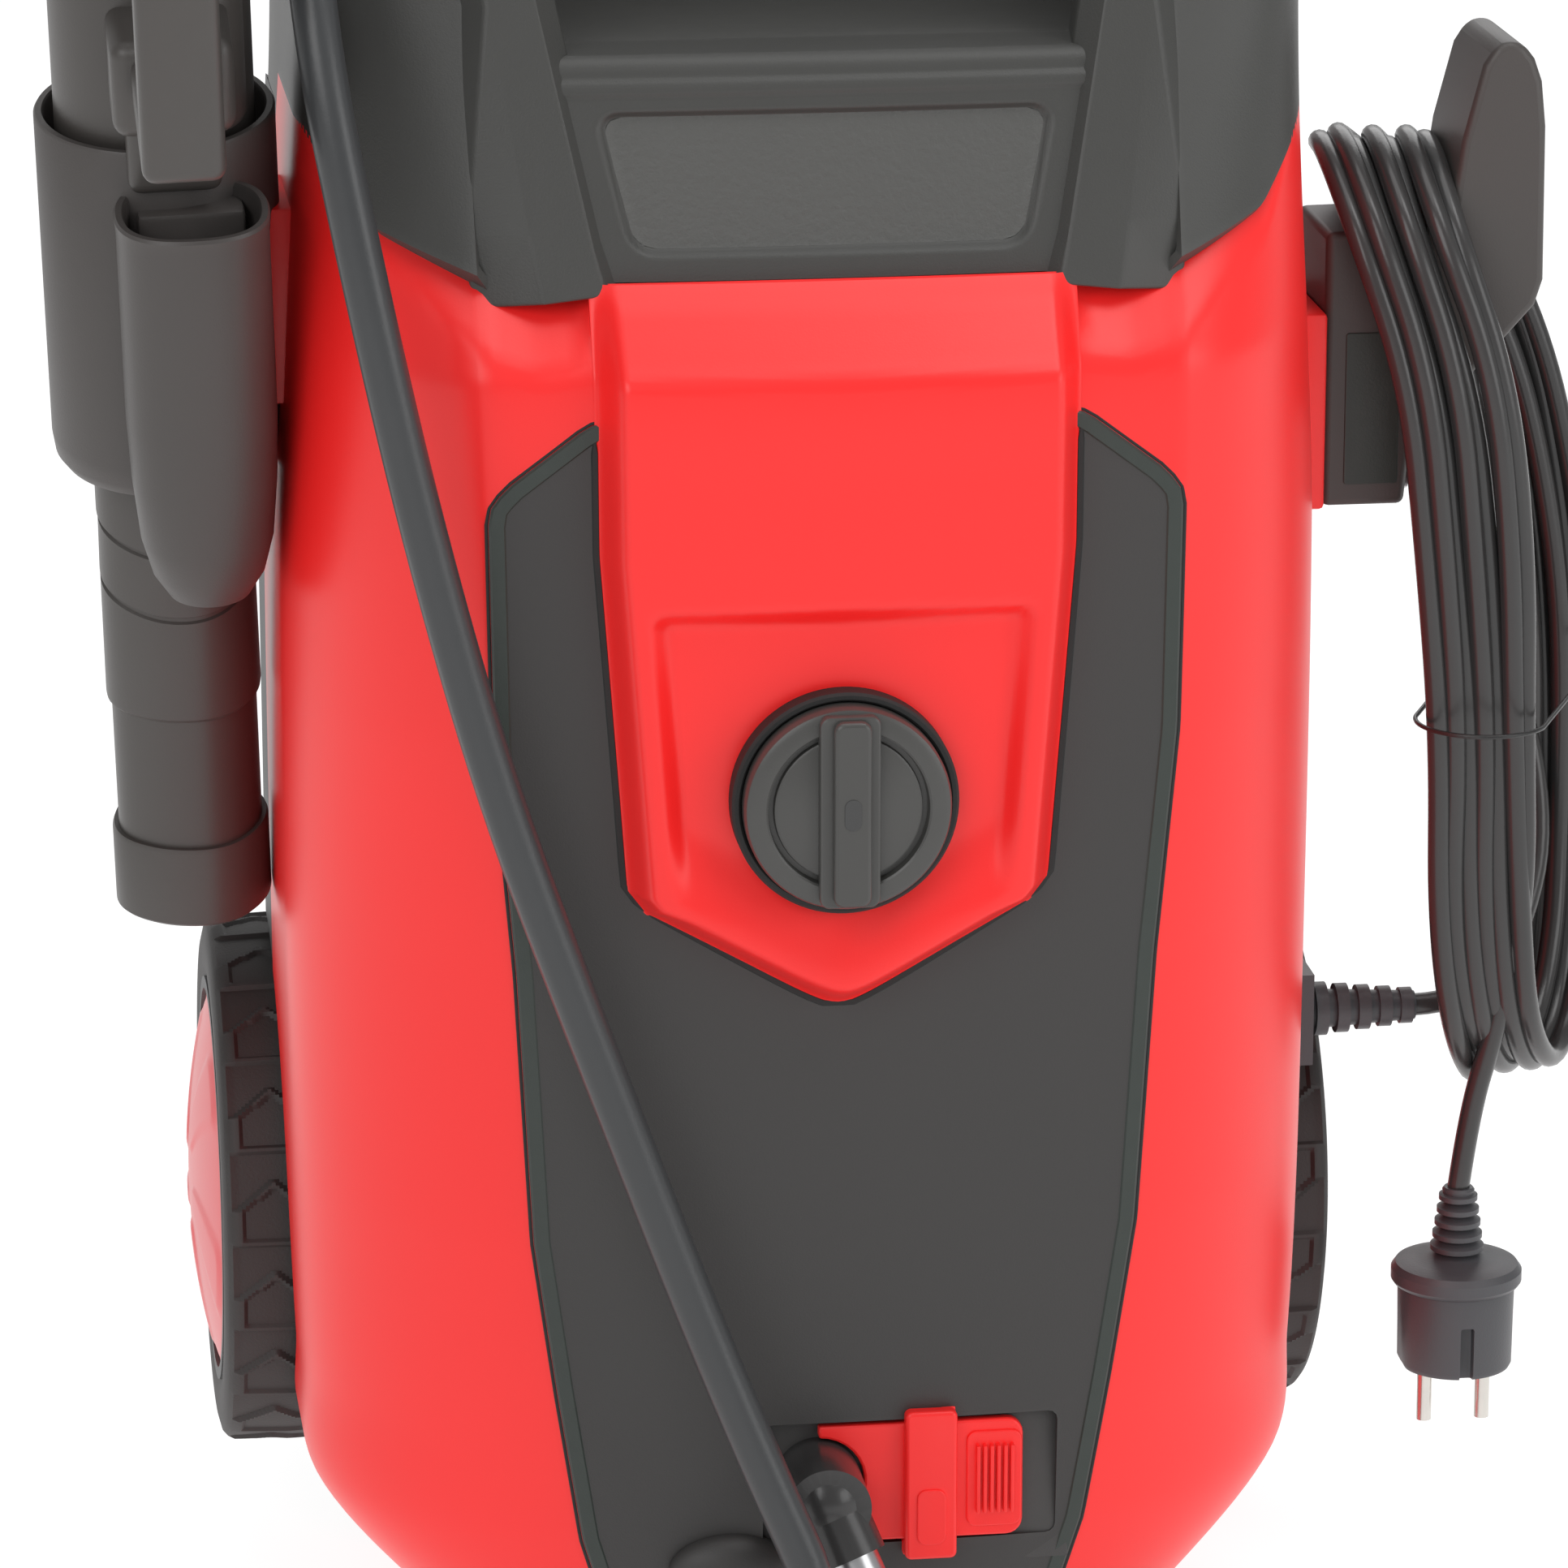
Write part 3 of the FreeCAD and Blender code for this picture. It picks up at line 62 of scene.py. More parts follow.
KNOB_LOW, KNOB_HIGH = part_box("switch_knob")
KNOB_RISE = (KNOB_LOW.z + KNOB_HIGH.z) / 2
TYRE_LOW, TYRE_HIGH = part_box("tyre_right")
AXLE_Y = (TYRE_LOW.y + TYRE_HIGH.y) / 2
AXLE_Z = (TYRE_LOW.z + TYRE_HIGH.z) / 2
TYRE_RADIUS = (TYRE_HIGH.z - TYRE_LOW.z) / 2
SHELL_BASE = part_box("front_shell")[0].z
COVER_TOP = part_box("top_cover")[1].z
PLUG_LOW, PLUG_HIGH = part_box("plug_body")
SPLIT = 0.030
# points of a closed sheet nearer to each other than this become one
SEAM_MERGE = 0.0000005

# ---------------------------------------------------------------- small tools for shaping


def settle():
    """Leave edit mode with nothing selected."""
    if bpy.context.mode != "OBJECT":
        bpy.ops.object.mode_set(mode="OBJECT")
    bpy.ops.object.select_all(action="DESELECT")


def pick(piece):
    settle()
    piece.select_set(True)
    bpy.context.view_layer.objects.active = piece
    return piece


def named(name):
    piece = bpy.context.object
    piece.name = name
    piece.data.name = name
    return piece


def tidy(piece, angle=32.0, merge=0.00001):
    """Merge doubles, turn faces outwards and smooth what isn't an edge."""
    pick(piece)
    bpy.ops.object.mode_set(mode="EDIT")
    bpy.ops.mesh.select_all(action="SELECT")
    bpy.ops.mesh.remove_doubles(threshold=merge)
    bpy.ops.mesh.normals_make_consistent(inside=False)
    bpy.ops.object.mode_set(mode="OBJECT")
    bpy.ops.object.shade_smooth_by_angle(angle=math.radians(angle))
    return piece


def modified(piece, kind, **settings):
    """Add a modifier and apply it."""
    pick(piece)
    modifier = piece.modifiers.new(kind.title(), kind)
    for key, value in settings.items():
        setattr(modifier, key, value)
    bpy.ops.object.modifier_apply(modifier=modifier.name)
    return piece


def bevelled(piece, width, segments=2, angle=32.0):
    modified(
        piece, "BEVEL", width=width, segments=segments, limit_method="ANGLE", angle_limit=math.radians(angle)
    )
    return tidy(piece, angle)


def walled(piece, thickness, inwards=True):
    """Give an open sheet a wall."""
    return modified(piece, "SOLIDIFY", thickness=thickness, offset=-1.0 if inwards else 1.0)


def joined(name, pieces):
    settle()
    for piece in pieces:
        piece.select_set(True)
    bpy.context.view_layer.objects.active = pieces[0]
    if len(pieces) > 1:
        bpy.ops.object.join()
    return named(name)


def sheet(name, across, along, place):
    """A grid whose point at (s, t), each from 0 to 1, goes to place(s, t)."""
    settle()
    bpy.ops.mesh.primitive_grid_add(x_subdivisions=across, y_subdivisions=along, size=1.0)
    piece = named(name)
    for vertex in piece.data.vertices:
        vertex.co = place(vertex.co.x + 0.5, vertex.co.y + 0.5)
    return piece


def axes_of(direction, up=(0.0, 0.0, 1.0)):
    """A matrix whose third column is the direction."""
    third = Vector(direction).normalized()
    first = Vector(up).cross(third)
    if first.length < 0.001:
        first = Vector((1.0, 0.0, 0.0))
    first.normalize()
    return Matrix((first, third.cross(first), third)).transposed()


def turned(name, profile, at, axis, segments=64, ripple=None):
    """A shape turned about an axis from (radius, height) pairs. ripple(angle, height) adds to the radius."""
    steps = len(profile) - 1
    basis = axes_of(axis)
    at = Vector(at)

    def place(s, t):
        angle = s * math.tau
        radius, height = profile[round(t * steps)]
        if ripple and radius > 0:
            radius += ripple(angle, height)
        return at + basis @ Vector((radius * math.cos(angle), radius * math.sin(angle), height))

    return tidy(sheet(name, segments, steps, place), merge=SEAM_MERGE)


def block(name, low, high, bevel=0.001, segments=2):
    """A box between two corners with its edges rounded in edit mode."""
    settle()
    low, high = Vector(low), Vector(high)
    bpy.ops.mesh.primitive_cube_add(size=1.0, location=(low + high) / 2)
    piece = named(name)
    piece.scale = high - low
    bpy.ops.object.transform_apply(location=True, rotation=True, scale=True)
    bpy.ops.object.mode_set(mode="EDIT")
    bpy.ops.mesh.select_all(action="SELECT")
    bpy.ops.mesh.bevel(offset=bevel, segments=segments, affect="EDGES")
    bpy.ops.object.mode_set(mode="OBJECT")
    return tidy(piece)


def slab(name, outline, depth, plane="XZ", start=0.0, bevel=0.001, segments=2):
    """A flat outline given a thickness along the plane's normal, with rounded edges."""
    settle()
    bpy.ops.mesh.primitive_circle_add(vertices=len(outline), radius=1.0, fill_type="NGON")
    piece = named(name)
    for vertex, (a, b) in zip(piece.data.vertices, outline, strict=True):
        vertex.co = {"XZ": (a, start, b), "XY": (a, b, start), "YZ": (start, a, b)}[plane]
    shift = {"XZ": (0, depth, 0), "XY": (0, 0, depth), "YZ": (depth, 0, 0)}[plane]
    bpy.ops.object.mode_set(mode="EDIT")
    bpy.ops.mesh.select_all(action="SELECT")
    bpy.ops.mesh.extrude_region_move(TRANSFORM_OT_translate={"value": shift})
    bpy.ops.object.mode_set(mode="OBJECT")
    tidy(piece)
    if bevel:
        bevelled(piece, bevel, segments)
    return piece


def mirror_copy(piece, name):
    """A copy on the other side of the middle, with its own mesh."""
    twin = piece.copy()
    twin.data = piece.data.copy()
    bpy.context.collection.objects.link(twin)
    for vertex in twin.data.vertices:
        vertex.co.x = -vertex.co.x
    twin.name = name
    return tidy(twin)


def ease(x):
    x = min(1.0, max(0.0, x))
    return x * x * (3.0 - 2.0 * x)


def curve_through(table, x):
    """A smooth value between the rows of a table of (x, value)."""
    if x <= table[0][0]:
        return table[0][1]
    for i in range(len(table) - 1):
        (x0, y0), (x1, y1) = table[i], table[i + 1]
        if x <= x1:
            before = table[max(i - 1, 0)]
            after = table[min(i + 2, len(table) - 1)]
            slope0 = (y1 - before[1]) / (x1 - before[0])
            slope1 = (after[1] - y0) / (after[0] - x0)
            h = x1 - x0
            t = (x - x0) / h
            t2, t3 = t * t, t * t * t
            return (
                (2 * t3 - 3 * t2 + 1) * y0
                + (t3 - 2 * t2 + t) * h * slope0
                + (3 * t2 - 2 * t3) * y1
                + (t3 - t2) * h * slope1
            )
    return table[-1][1]


def line_through(table, x):
    """A straight-run value between the rows of a table of (x, value)."""
    if x <= table[0][0]:
        return table[0][1]
    for (x0, y0), (x1, y1) in zip(table, table[1:], strict=False):
        if x <= x1:
            return y0 + (y1 - y0) * (x - x0) / (x1 - x0)
    return table[-1][1]


def finish_piece(piece, body, slot_name, material, *nodes):
    piece.data.materials.clear()
    piece.data.materials.append(material)
    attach(piece, body)
    if nodes:
        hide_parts(*nodes)
    return piece


# ---------------------------------------------------------------- finishes


def group_of(name, inputs, outputs, build):
    """A shader node group, made once."""
    found = bpy.data.node_groups.get(name)
    if found:
        return found
    tree = bpy.data.node_groups.new(name, "ShaderNodeTree")
    for label, kind, value in inputs:
        made = tree.interface.new_socket(name=label, in_out="INPUT", socket_type=kind)
        made.default_value = value
    for label, kind in outputs:
        tree.interface.new_socket(name=label, in_out="OUTPUT", socket_type=kind)
    build(tree, tree.nodes.new("NodeGroupInput"), tree.nodes.new("NodeGroupOutput"))
    return tree


def add_node(tree, kind, links=(), **values):
    """A node with settings, input values by socket name, and links from other sockets."""
    made = tree.nodes.new(kind)
    for key, value in values.items():
        if hasattr(made, key):
            setattr(made, key, value)
        else:
            made.inputs[key.replace("_", " ")].default_value = value
    for socket, source in links:
        tree.links.new(source, made.inputs[socket])
    return made


def build_grain(tree, given, taken):
    """Fine moulded grain: a height, and a mask of broad soft patches."""
    place = add_node(tree, "ShaderNodeTexCoord")
    fine = add_node(tree, "ShaderNodeTexNoise", Detail=3.0, Roughness=0.6)
    tree.links.new(place.outputs["Object"], fine.inputs["Vector"])
    tree.links.new(given.outputs["Grain size"], fine.inputs["Scale"])
    broad = add_node(tree, "ShaderNodeTexNoise", Scale=9.0, Detail=4.0, Roughness=0.5)
    tree.links.new(place.outputs["Object"], broad.inputs["Vector"])
    tree.links.new(fine.outputs["Fac"], taken.inputs["Height"])
    tree.links.new(broad.outputs["Fac"], taken.inputs["Patches"])


def build_wear(tree, given, taken):
    """Light rub marks: a mask that is high along worn edges and in thin scuffs."""
    shape = add_node(tree, "ShaderNodeNewGeometry")
    edge = add_node(tree, "ShaderNodeMapRange")
    edge.inputs["From Min"].default_value = 0.52
    edge.inputs["From Max"].default_value = 0.62
    tree.links.new(shape.outputs["Pointiness"], edge.inputs["Value"])
    place = add_node(tree, "ShaderNodeTexCoord")
    noise = add_node(tree, "ShaderNodeTexNoise", Scale=140.0, Detail=5.0, Roughness=0.7)
    tree.links.new(place.outputs["Object"], noise.inputs["Vector"])
    both = add_node(tree, "ShaderNodeMath", operation="MULTIPLY")
    tree.links.new(edge.outputs["Result"], both.inputs[0])
    tree.links.new(noise.outputs["Fac"], both.inputs[1])
    scaled = add_node(tree, "ShaderNodeMath", operation="MULTIPLY")
    tree.links.new(both.outputs[0], scaled.inputs[0])
    tree.links.new(given.outputs["Amount"], scaled.inputs[1])
    tree.links.new(scaled.outputs[0], taken.inputs["Wear"])


def grain_group():
    return group_of(
        "Moulded grain",
        [("Grain size", "NodeSocketFloat", 900.0)],
        [("Height", "NodeSocketFloat"), ("Patches", "NodeSocketFloat")],
        build_grain,
    )


def wear_group():
    return group_of(
        "Rubbed edges", [("Amount", "NodeSocketFloat", 0.5)], [("Wear", "NodeSocketFloat")], build_wear
    )


def recoloured(material, colour, tint):
    """Give a finish its darker, lighter and rubbed colours, also when it's made already."""
    nodes = material.node_tree.nodes
    nodes["Drift"].inputs[6].default_value = [c * (1.0 - tint) for c in colour] + [1.0]
    nodes["Drift"].inputs[7].default_value = [min(1.0, c * (1.0 + tint)) for c in colour] + [1.0]
    nodes["Scuffed"].inputs[7].default_value = [min(1.0, c * 1.5 + 0.05) for c in colour] + [1.0]
    return material


def plastic(name, colour, rough, grain=900.0, depth=0.00012, wear=0.35, tint=0.08, metal=0.0):
    """A moulded surface: a base colour that drifts a little, grain, and rubbed edges."""
    found = bpy.data.materials.get(name)
    if found:
        return recoloured(found, colour, tint)
    material = bpy.data.materials.new(name)
    material.use_nodes = True
    tree = material.node_tree
    shader = tree.nodes["Principled BSDF"]
    shader.inputs["Metallic"].default_value = metal
    texture = add_node(tree, "ShaderNodeGroup", node_tree=grain_group())
    texture.inputs["Grain size"].default_value = grain
    rub = add_node(tree, "ShaderNodeGroup", node_tree=wear_group())
    rub.inputs["Amount"].default_value = wear
    drift = add_node(tree, "ShaderNodeMix", data_type="RGBA", name="Drift")
    tree.links.new(texture.outputs["Patches"], drift.inputs[0])
    scuffed = add_node(tree, "ShaderNodeMix", data_type="RGBA", name="Scuffed")
    tree.links.new(rub.outputs["Wear"], scuffed.inputs[0])
    tree.links.new(drift.outputs[2], scuffed.inputs[6])
    tree.links.new(scuffed.outputs[2], shader.inputs["Base Color"])
    gloss = add_node(tree, "ShaderNodeMapRange")
    gloss.inputs["To Min"].default_value = rough * 0.88
    gloss.inputs["To Max"].default_value = rough * 1.12
    tree.links.new(texture.outputs["Patches"], gloss.inputs["Value"])
    tree.links.new(gloss.outputs["Result"], shader.inputs["Roughness"])
    bump = add_node(tree, "ShaderNodeBump")
    bump.inputs["Strength"].default_value = 1.0
    bump.inputs["Distance"].default_value = depth
    tree.links.new(texture.outputs["Height"], bump.inputs["Height"])
    tree.links.new(bump.outputs["Normal"], shader.inputs["Normal"])
    return recoloured(material, colour, tint)


def finishes(settings):
    """Every finish by name."""
    return {
        "shell_red": plastic(
            "Shell red", settings.shell_red, 0.36, grain=1500.0, depth=0.00003, wear=0.2, tint=0.04
        ),
        "cap_red": plastic("Cap red", settings.cap_red, 0.3, grain=1200.0, depth=0.00003, tint=0.06),
        "panel_black": plastic("Panel black", settings.panel_black, 0.5, grain=1700.0, depth=0.00008),
        "panel_rim": plastic("Panel rim black", (0.022, 0.030, 0.025), 0.42, grain=1700.0, depth=0.00006),
        "cover_black": plastic("Cover black", settings.cover_black, 0.46, grain=1500.0, depth=0.0001),
        "cover_grained": plastic("Cover deep grain", (0.078, 0.078, 0.074), 0.5, grain=430.0, depth=0.0007),
        "rear_black": plastic("Rear shell black", settings.rear_black, 0.5, grain=1300.0, depth=0.0001),
        "holder_black": plastic("Holder black", settings.holder_black, 0.44, grain=1500.0, depth=0.00006),
        "gun_black": plastic("Gun black", settings.gun_black, 0.40, grain=1600.0, depth=0.00005),
        "knob_black": plastic("Knob black", settings.knob_black, 0.36, grain=1600.0, depth=0.00004),
        "hose_rubber": plastic("Hose rubber", settings.hose_rubber, 0.34, grain=700.0, depth=0.00006),
        "cord_gloss": plastic("Cord gloss", settings.cord_gloss, 0.25, grain=900.0, depth=0.00003),
        "plug_black": plastic("Plug black", (0.060, 0.060, 0.066), 0.42, grain=1300.0, depth=0.00006),
        "tyre_rubber": plastic(
            "Tyre rubber", settings.tyre_rubber, 0.6, grain=1100.0, depth=0.00012, wear=0.5
        ),
        "rim_black": plastic("Rim black", (0.045, 0.045, 0.045), 0.5),
        "foot_rubber": plastic("Foot rubber", (0.03, 0.03, 0.03), 0.7, grain=800.0, depth=0.0002),
        # painted shade: a near-black finish for the ribbons and the knob's seat ring that stand in for the
        # shadow in gaps between parts
        "painted_gap_shade": plastic("Painted gap shade", (0.010, 0.010, 0.010), 0.7),
        "steel": plastic("Steel", (0.50, 0.50, 0.51), 0.28, grain=400.0, depth=0.00002, metal=1.0),
        "bright_pin": plastic("Bright pin", (0.60, 0.58, 0.54), 0.22, grain=300.0, depth=0.00001, metal=1.0),
        "aluminium": plastic(
            "Aluminium tube", (0.62, 0.62, 0.64), 0.3, grain=500.0, depth=0.00002, metal=1.0
        ),
        "brass": plastic("Brass", (0.72, 0.52, 0.22), 0.3, grain=500.0, depth=0.00002, metal=1.0),
        "inner_plastic": plastic("Inner plastic", (0.25, 0.25, 0.26), 0.5),
        "tie_black": plastic("Tie black", (0.012, 0.012, 0.012), 0.35),
    }


# ---------------------------------------------------------------- stage


VIEW_TARGET = (0.002, 0.0, 0.267)
SENSOR_WIDTH = 36.0
FLOOR_SIZE = 14.0
VIEW_REACH = 60.0


def build_stage(settings):
    target = Vector(VIEW_TARGET)
    azimuth = math.radians(settings.azimuth)
    elevation = math.radians(settings.elevation)
    back = Vector(
        (
            math.sin(azimuth) * math.cos(elevation),
            -math.cos(azimuth) * math.cos(elevation),
            math.sin(elevation),
        )
    )
    settle()
    bpy.ops.object.camera_add(location=target + back * settings.distance)
    camera = bpy.context.object
    camera.rotation_euler = (-back).to_track_quat("-Z", "Y").to_euler()
    camera.data.sensor_width = SENSOR_WIDTH
    camera.data.lens = SENSOR_WIDTH * settings.distance / settings.view_width
    camera.data.clip_end = VIEW_REACH
    bpy.context.scene.camera = camera

    bpy.ops.mesh.primitive_plane_add(size=FLOOR_SIZE)
    floor = named("floor")
    paint = bpy.data.materials.new("Floor white")
    paint.use_nodes = True
    shader = paint.node_tree.nodes["Principled BSDF"]
    shader.inputs["Base Color"].default_value = (0.30, 0.30, 0.30, 1.0)
    shader.inputs["Roughness"].default_value = 0.9
    shader.inputs["Specular IOR Level"].default_value = 0.0
    shader.inputs["Emission Color"].default_value = (1.0, 1.0, 1.0, 1.0)
    shader.inputs["Emission Strength"].default_value = settings.floor_glow
    floor.data.materials.append(paint)

    world = bpy.data.worlds.new("Studio")
    world.use_nodes = True
    tree = world.node_tree
    soft = tree.nodes["Background"]
    soft.inputs["Color"].default_value = (1.0, 1.0, 1.0, 1.0)
    soft.inputs["Strength"].default_value = settings.world_light
    plain = add_node(tree, "ShaderNodeBackground", Strength=1.0)
    plain.inputs["Color"].default_value = (1.0, 1.0, 1.0, 1.0)
    seen = add_node(tree, "ShaderNodeLightPath")
    chosen = add_node(tree, "ShaderNodeMixShader")
    tree.links.new(seen.outputs["Is Camera Ray"], chosen.inputs[0])
    tree.links.new(soft.outputs[0], chosen.inputs[1])
    tree.links.new(plain.outputs[0], chosen.inputs[2])
    tree.links.new(chosen.outputs[0], tree.nodes["World Output"].inputs["Surface"])
    bpy.context.scene.world = world
    bpy.context.scene.view_settings.view_transform = "Standard"

    lamps = (
        ("key_light", (-1.5, -2.3, 1.9), 1.7, settings.key_light),
        ("fill_light", (2.1, -1.7, 1.0), 1.4, settings.key_light * 0.55),
        ("top_light", (0.1, -0.2, 2.6), 1.6, settings.key_light * 0.5),
        ("deck_light", (0.9, -0.9, 2.3), 0.8, settings.key_light * 0.30),
        ("rear_light", (0.8, 2.4, 1.6), 1.6, settings.key_light * 0.4),
    )
    for name, place, size, power in lamps:
        bpy.ops.object.light_add(type="AREA", location=place)
        lamp = bpy.context.object
        lamp.name = name
        lamp.data.size = size
        lamp.data.energy = power
        lamp.rotation_euler = (target - Vector(place)).to_track_quat("-Z", "Y").to_euler()


# ---------------------------------------------------------------- cords

HOSE_ROUTE = [
    (0.0080, -0.1610, 0.0530),
    (0.0188, -0.1718, 0.0272),
    (0.043, -0.205, 0.010),
    (0.080, -0.240, 0.008),
    (0.081, -0.302, 0.008),
    (0.036, -0.347, 0.008),
    (-0.028, -0.345, 0.008),
    (-0.072, -0.300, 0.008),
    (-0.070, -0.238, 0.008),
    (-0.031, -0.200, 0.014),
    (-0.006, -0.182, 0.056),
    (-0.028, -0.174, 0.107),
    (-0.048, -0.168, 0.158),
    (-0.076, -0.165, 0.236),
    (-0.103, -0.163, 0.312),
    (-0.124, -0.162, 0.392),
    (-0.140, -0.160, 0.468),
    (-0.152, -0.150, 0.536),
    (-0.153, -0.112, 0.592),
    (-0.144, -0.046, 0.613),
    (-0.122, 0.024, 0.616),
    (-0.086, 0.088, 0.610),
    (-0.062, 0.134, 0.572),
    (-0.064, 0.146, 0.512),
]
HOSE_DIAMETER = 0.0135
COIL_MIDDLE = Vector((0.0, 0.142, 0.4265))
COIL_RING = 0.076
COIL_TURNS = 7
COIL_STATIONS = 12
COIL_SPACING = 0.0136
HOSE_TIP = [(-0.0895, 0.150, 0.405), (-0.0900, 0.150, 0.3885)]
CORD_DIAMETER = 0.0072
CORD_TURNS = 7
CORD_WANDER = 0.0008
# places that the last turn leaves out, where the tail begins
TAIL_PLACES = 4
LEAD_ROUTE = [
    (0.2035, -0.0140, 0.190),
    (0.2205, -0.0145, 0.1905),
    (0.2390, -0.0040, 0.204),
    (0.2540, 0.0200, 0.240),
]
# where one turn of the power cord passes: place, then how far its turns spread sideways and outwards
BUNDLE_TURN = [
    ((0.256, 0.034, 0.300), 1.0, 1.0),
    ((0.249, 0.036, 0.352), 1.0, 1.0),
    ((0.238, 0.036, 0.400), 0.9, 1.0),
    ((0.214, 0.037, 0.442), 1.0, 0.9),
    ((0.190, 0.020, 0.466), 1.15, 0.5),
    ((0.186, -0.016, 0.470), 1.2, 0.4),
    ((0.188, -0.046, 0.450), 1.15, 0.8),
    ((0.204, -0.054, 0.402), 1.15, 1.0),
    ((0.210, -0.054, 0.346), 1.15, 1.0),
    ((0.214, -0.053, 0.290), 1.0, 0.8),
    ((0.215, -0.052, 0.232), 1.1, 1.0),
    ((0.222, -0.042, 0.190), 1.0, 1.0),
    ((0.238, -0.010, 0.164), 1.0, 1.0),
    ((0.253, 0.018, 0.190), 1.0, 1.0),
    ((0.257, 0.031, 0.240), 1.0, 1.0),
]
BUNDLE_OFFSETS = [(-14.5, 0.5), (-9.5, 5.0), (-6.0, -3.5), (-0.5, 3.0), (3.5, -4.5), (8.5, 2.5), (14.0, -1.0)]
TAIL_ROUTE = [
    (0.224, -0.038, 0.186),
    (0.219, -0.031, 0.160),
    (0.217, -0.026, 0.132),
]


def cord_curve(name, points, diameter):
    """One smooth cord with the points as its control points."""
    curve = bpy.data.curves.new(name, "CURVE")
    curve.dimensions = "3D"
    curve.bevel_depth = diameter / 2
    curve.bevel_resolution = 5
    curve.resolution_u = 8
    curve.use_fill_caps = True
    spline = curve.splines.new("NURBS")
    spline.points.add(len(points) - 1)
    for control, place in zip(spline.points, points, strict=True):
        control.co = (*place, 1.0)
    spline.order_u = 3
    spline.use_endpoint_u = True
    piece = bpy.data.objects.new(name, curve)
    bpy.context.collection.objects.link(piece)
    return piece


def hose_points():
    """The route, then the turns of the coil behind the shell, and the short end that hangs from it."""
    points = [Vector(p) for p in HOSE_ROUTE]
    around = [(0.0, 0.0)] + [
        (
            COIL_SPACING * math.cos(math.radians(60 * i + 20)),
            COIL_SPACING * math.sin(math.radians(60 * i + 20))
        )
        for i in range(6)
    ]
    order = [1, 2, 0, 3, 4, 5, 6]
    total = COIL_TURNS * COIL_STATIONS
    for step in range(total + 1):
        turn = min(COIL_TURNS - 1, step // COIL_STATIONS)
        share = ease((step % COIL_STATIONS) / COIL_STATIONS * 1.6 - 0.6) if step < total else 1.0
        now = around[order[turn]]
        then = around[order[min(COIL_TURNS - 1, turn + 1)]]
        wide = now[0] + (then[0] - now[0]) * share
        deep = now[1] + (then[1] - now[1]) * share
        angle = math.pi + math.tau * step / COIL_STATIONS
        ring = COIL_RING + wide
        points.append(
            COIL_MIDDLE + Vector((ring * math.cos(angle), deep, ring * math.sin(angle)))
        )
    points.extend(Vector(p) for p in HOSE_TIP)
    return points


def power_cord_points():
    """The lead, the turns of the bundle on the hook, and the tail to the plug."""
    points = [Vector(p) for p in LEAD_ROUTE]
    middle = Vector((0.230, -0.008, 0.320))
    count = len(BUNDLE_TURN)
    jitter = random.Random(4)
    stop = CORD_TURNS * count - TAIL_PLACES
    for step in range(stop):
        turn = step // count
        place, side, out = BUNDLE_TURN[step % count]
        share = ease((step % count) / count * 1.5 - 0.5)
        now = BUNDLE_OFFSETS[turn]
        then = BUNDLE_OFFSETS[min(CORD_TURNS - 1, turn + 1)]
        across = (now[0] + (then[0] - now[0]) * share) * 0.001 * side
        away = (now[1] + (then[1] - now[1]) * share) * 0.001 * out
        spot = Vector(place)
        radial = spot - middle
        radial.x = 0.0
        radial.normalize()
        wander = jitter.uniform(-CORD_WANDER, CORD_WANDER)
        points.append(spot + Vector((across + wander, 0.0, 0.0)) + radial * away)
    points.extend(Vector(p) for p in TAIL_ROUTE)
    return points


def build_hose(settings):
    looks = finishes(settings)
    piece = cord_curve("hose_run", hose_points(), HOSE_DIAMETER)
    finish_piece(piece, "housing", "hose_black", looks["hose_rubber"], "pressure_hose", "pressure_hose_coil")


def build_power_cord(settings):
    looks = finishes(settings)
    piece = cord_curve("power_lead_run", power_cord_points(), CORD_DIAMETER)
    finish_piece(
        piece,
        "housing",
        "cord_black",
        looks["cord_gloss"],
        "power_cord_lead",
        "power_cord_bundle",
        "power_cord_tail",
    )


# ---------------------------------------------------------------- forms that several pieces share

SHELL_HALF = [
    (0.008, 0.104), (0.061, 0.152), (0.099, 0.1565), (0.178, 0.1585), (0.364, 0.1585),
    (0.420, 0.156), (0.494, 0.152), (0.564, 0.1505), (0.590, 0.1500),
]
FRONT_FACE = [
    (0.008, -0.124), (0.040, -0.130), (0.120, -0.1355), (0.240, -0.1385), (0.330, -0.1395),
    (0.400, -0.139), (0.430, -0.1384), (0.436, -0.1358), (0.457, -0.126), (0.494, -0.112), (0.519, -0.103),
    (0.590, -0.080),
]
PANEL_HALF = [
    (0.008, 0.050), (0.022, 0.064), (0.030, 0.066), (0.067, 0.077), (0.115, 0.0845),
    (0.165, 0.0915), (0.250, 0.096), (0.320, 0.102), (0.395, 0.103), (0.590, 0.106),
]
TONGUE_HALF = [
    (0.238, 0.055), (0.268, 0.058), (0.276, 0.064), (0.304, 0.066), (0.378, 0.0715), (0.460, 0.072)
]
BROW_EDGE = [(0.0, 0.4565), (0.068, 0.4565), (0.088, 0.453), (0.132, 0.470), (0.152, 0.494)]
BROW_SIDE = 0.494
# where the cover's middle stands on the red shell
COVER_FOOT = 0.4565
# how far the slanted facet reaches down from the brow's edge
BROW_FACET = [(0.0, 0.0), (0.066, 0.0), (0.074, 0.022), (0.100, 0.022), (0.134, 0.008), (0.146, 0.0)]
FLANK_END = -0.045
PANEL_LOW, PANEL_HIGH = 0.022, 0.418
PANEL_CORNERS_LOW = [(0.022, 0.056), (0.0232, 0.0605), (0.0262, 0.0642), (0.031, 0.0662)]
PANEL_CORNERS_HIGH = [
    (0.388, 0.1029), (0.393, 0.1020), (0.3965, 0.0995), (0.4000, 0.0960),
    (0.4150, 0.0762), (0.4172, 0.0725), (0.4180, 0.0690),
]
REAR_FLAT = 0.096
REAR_CORNER = 0.030


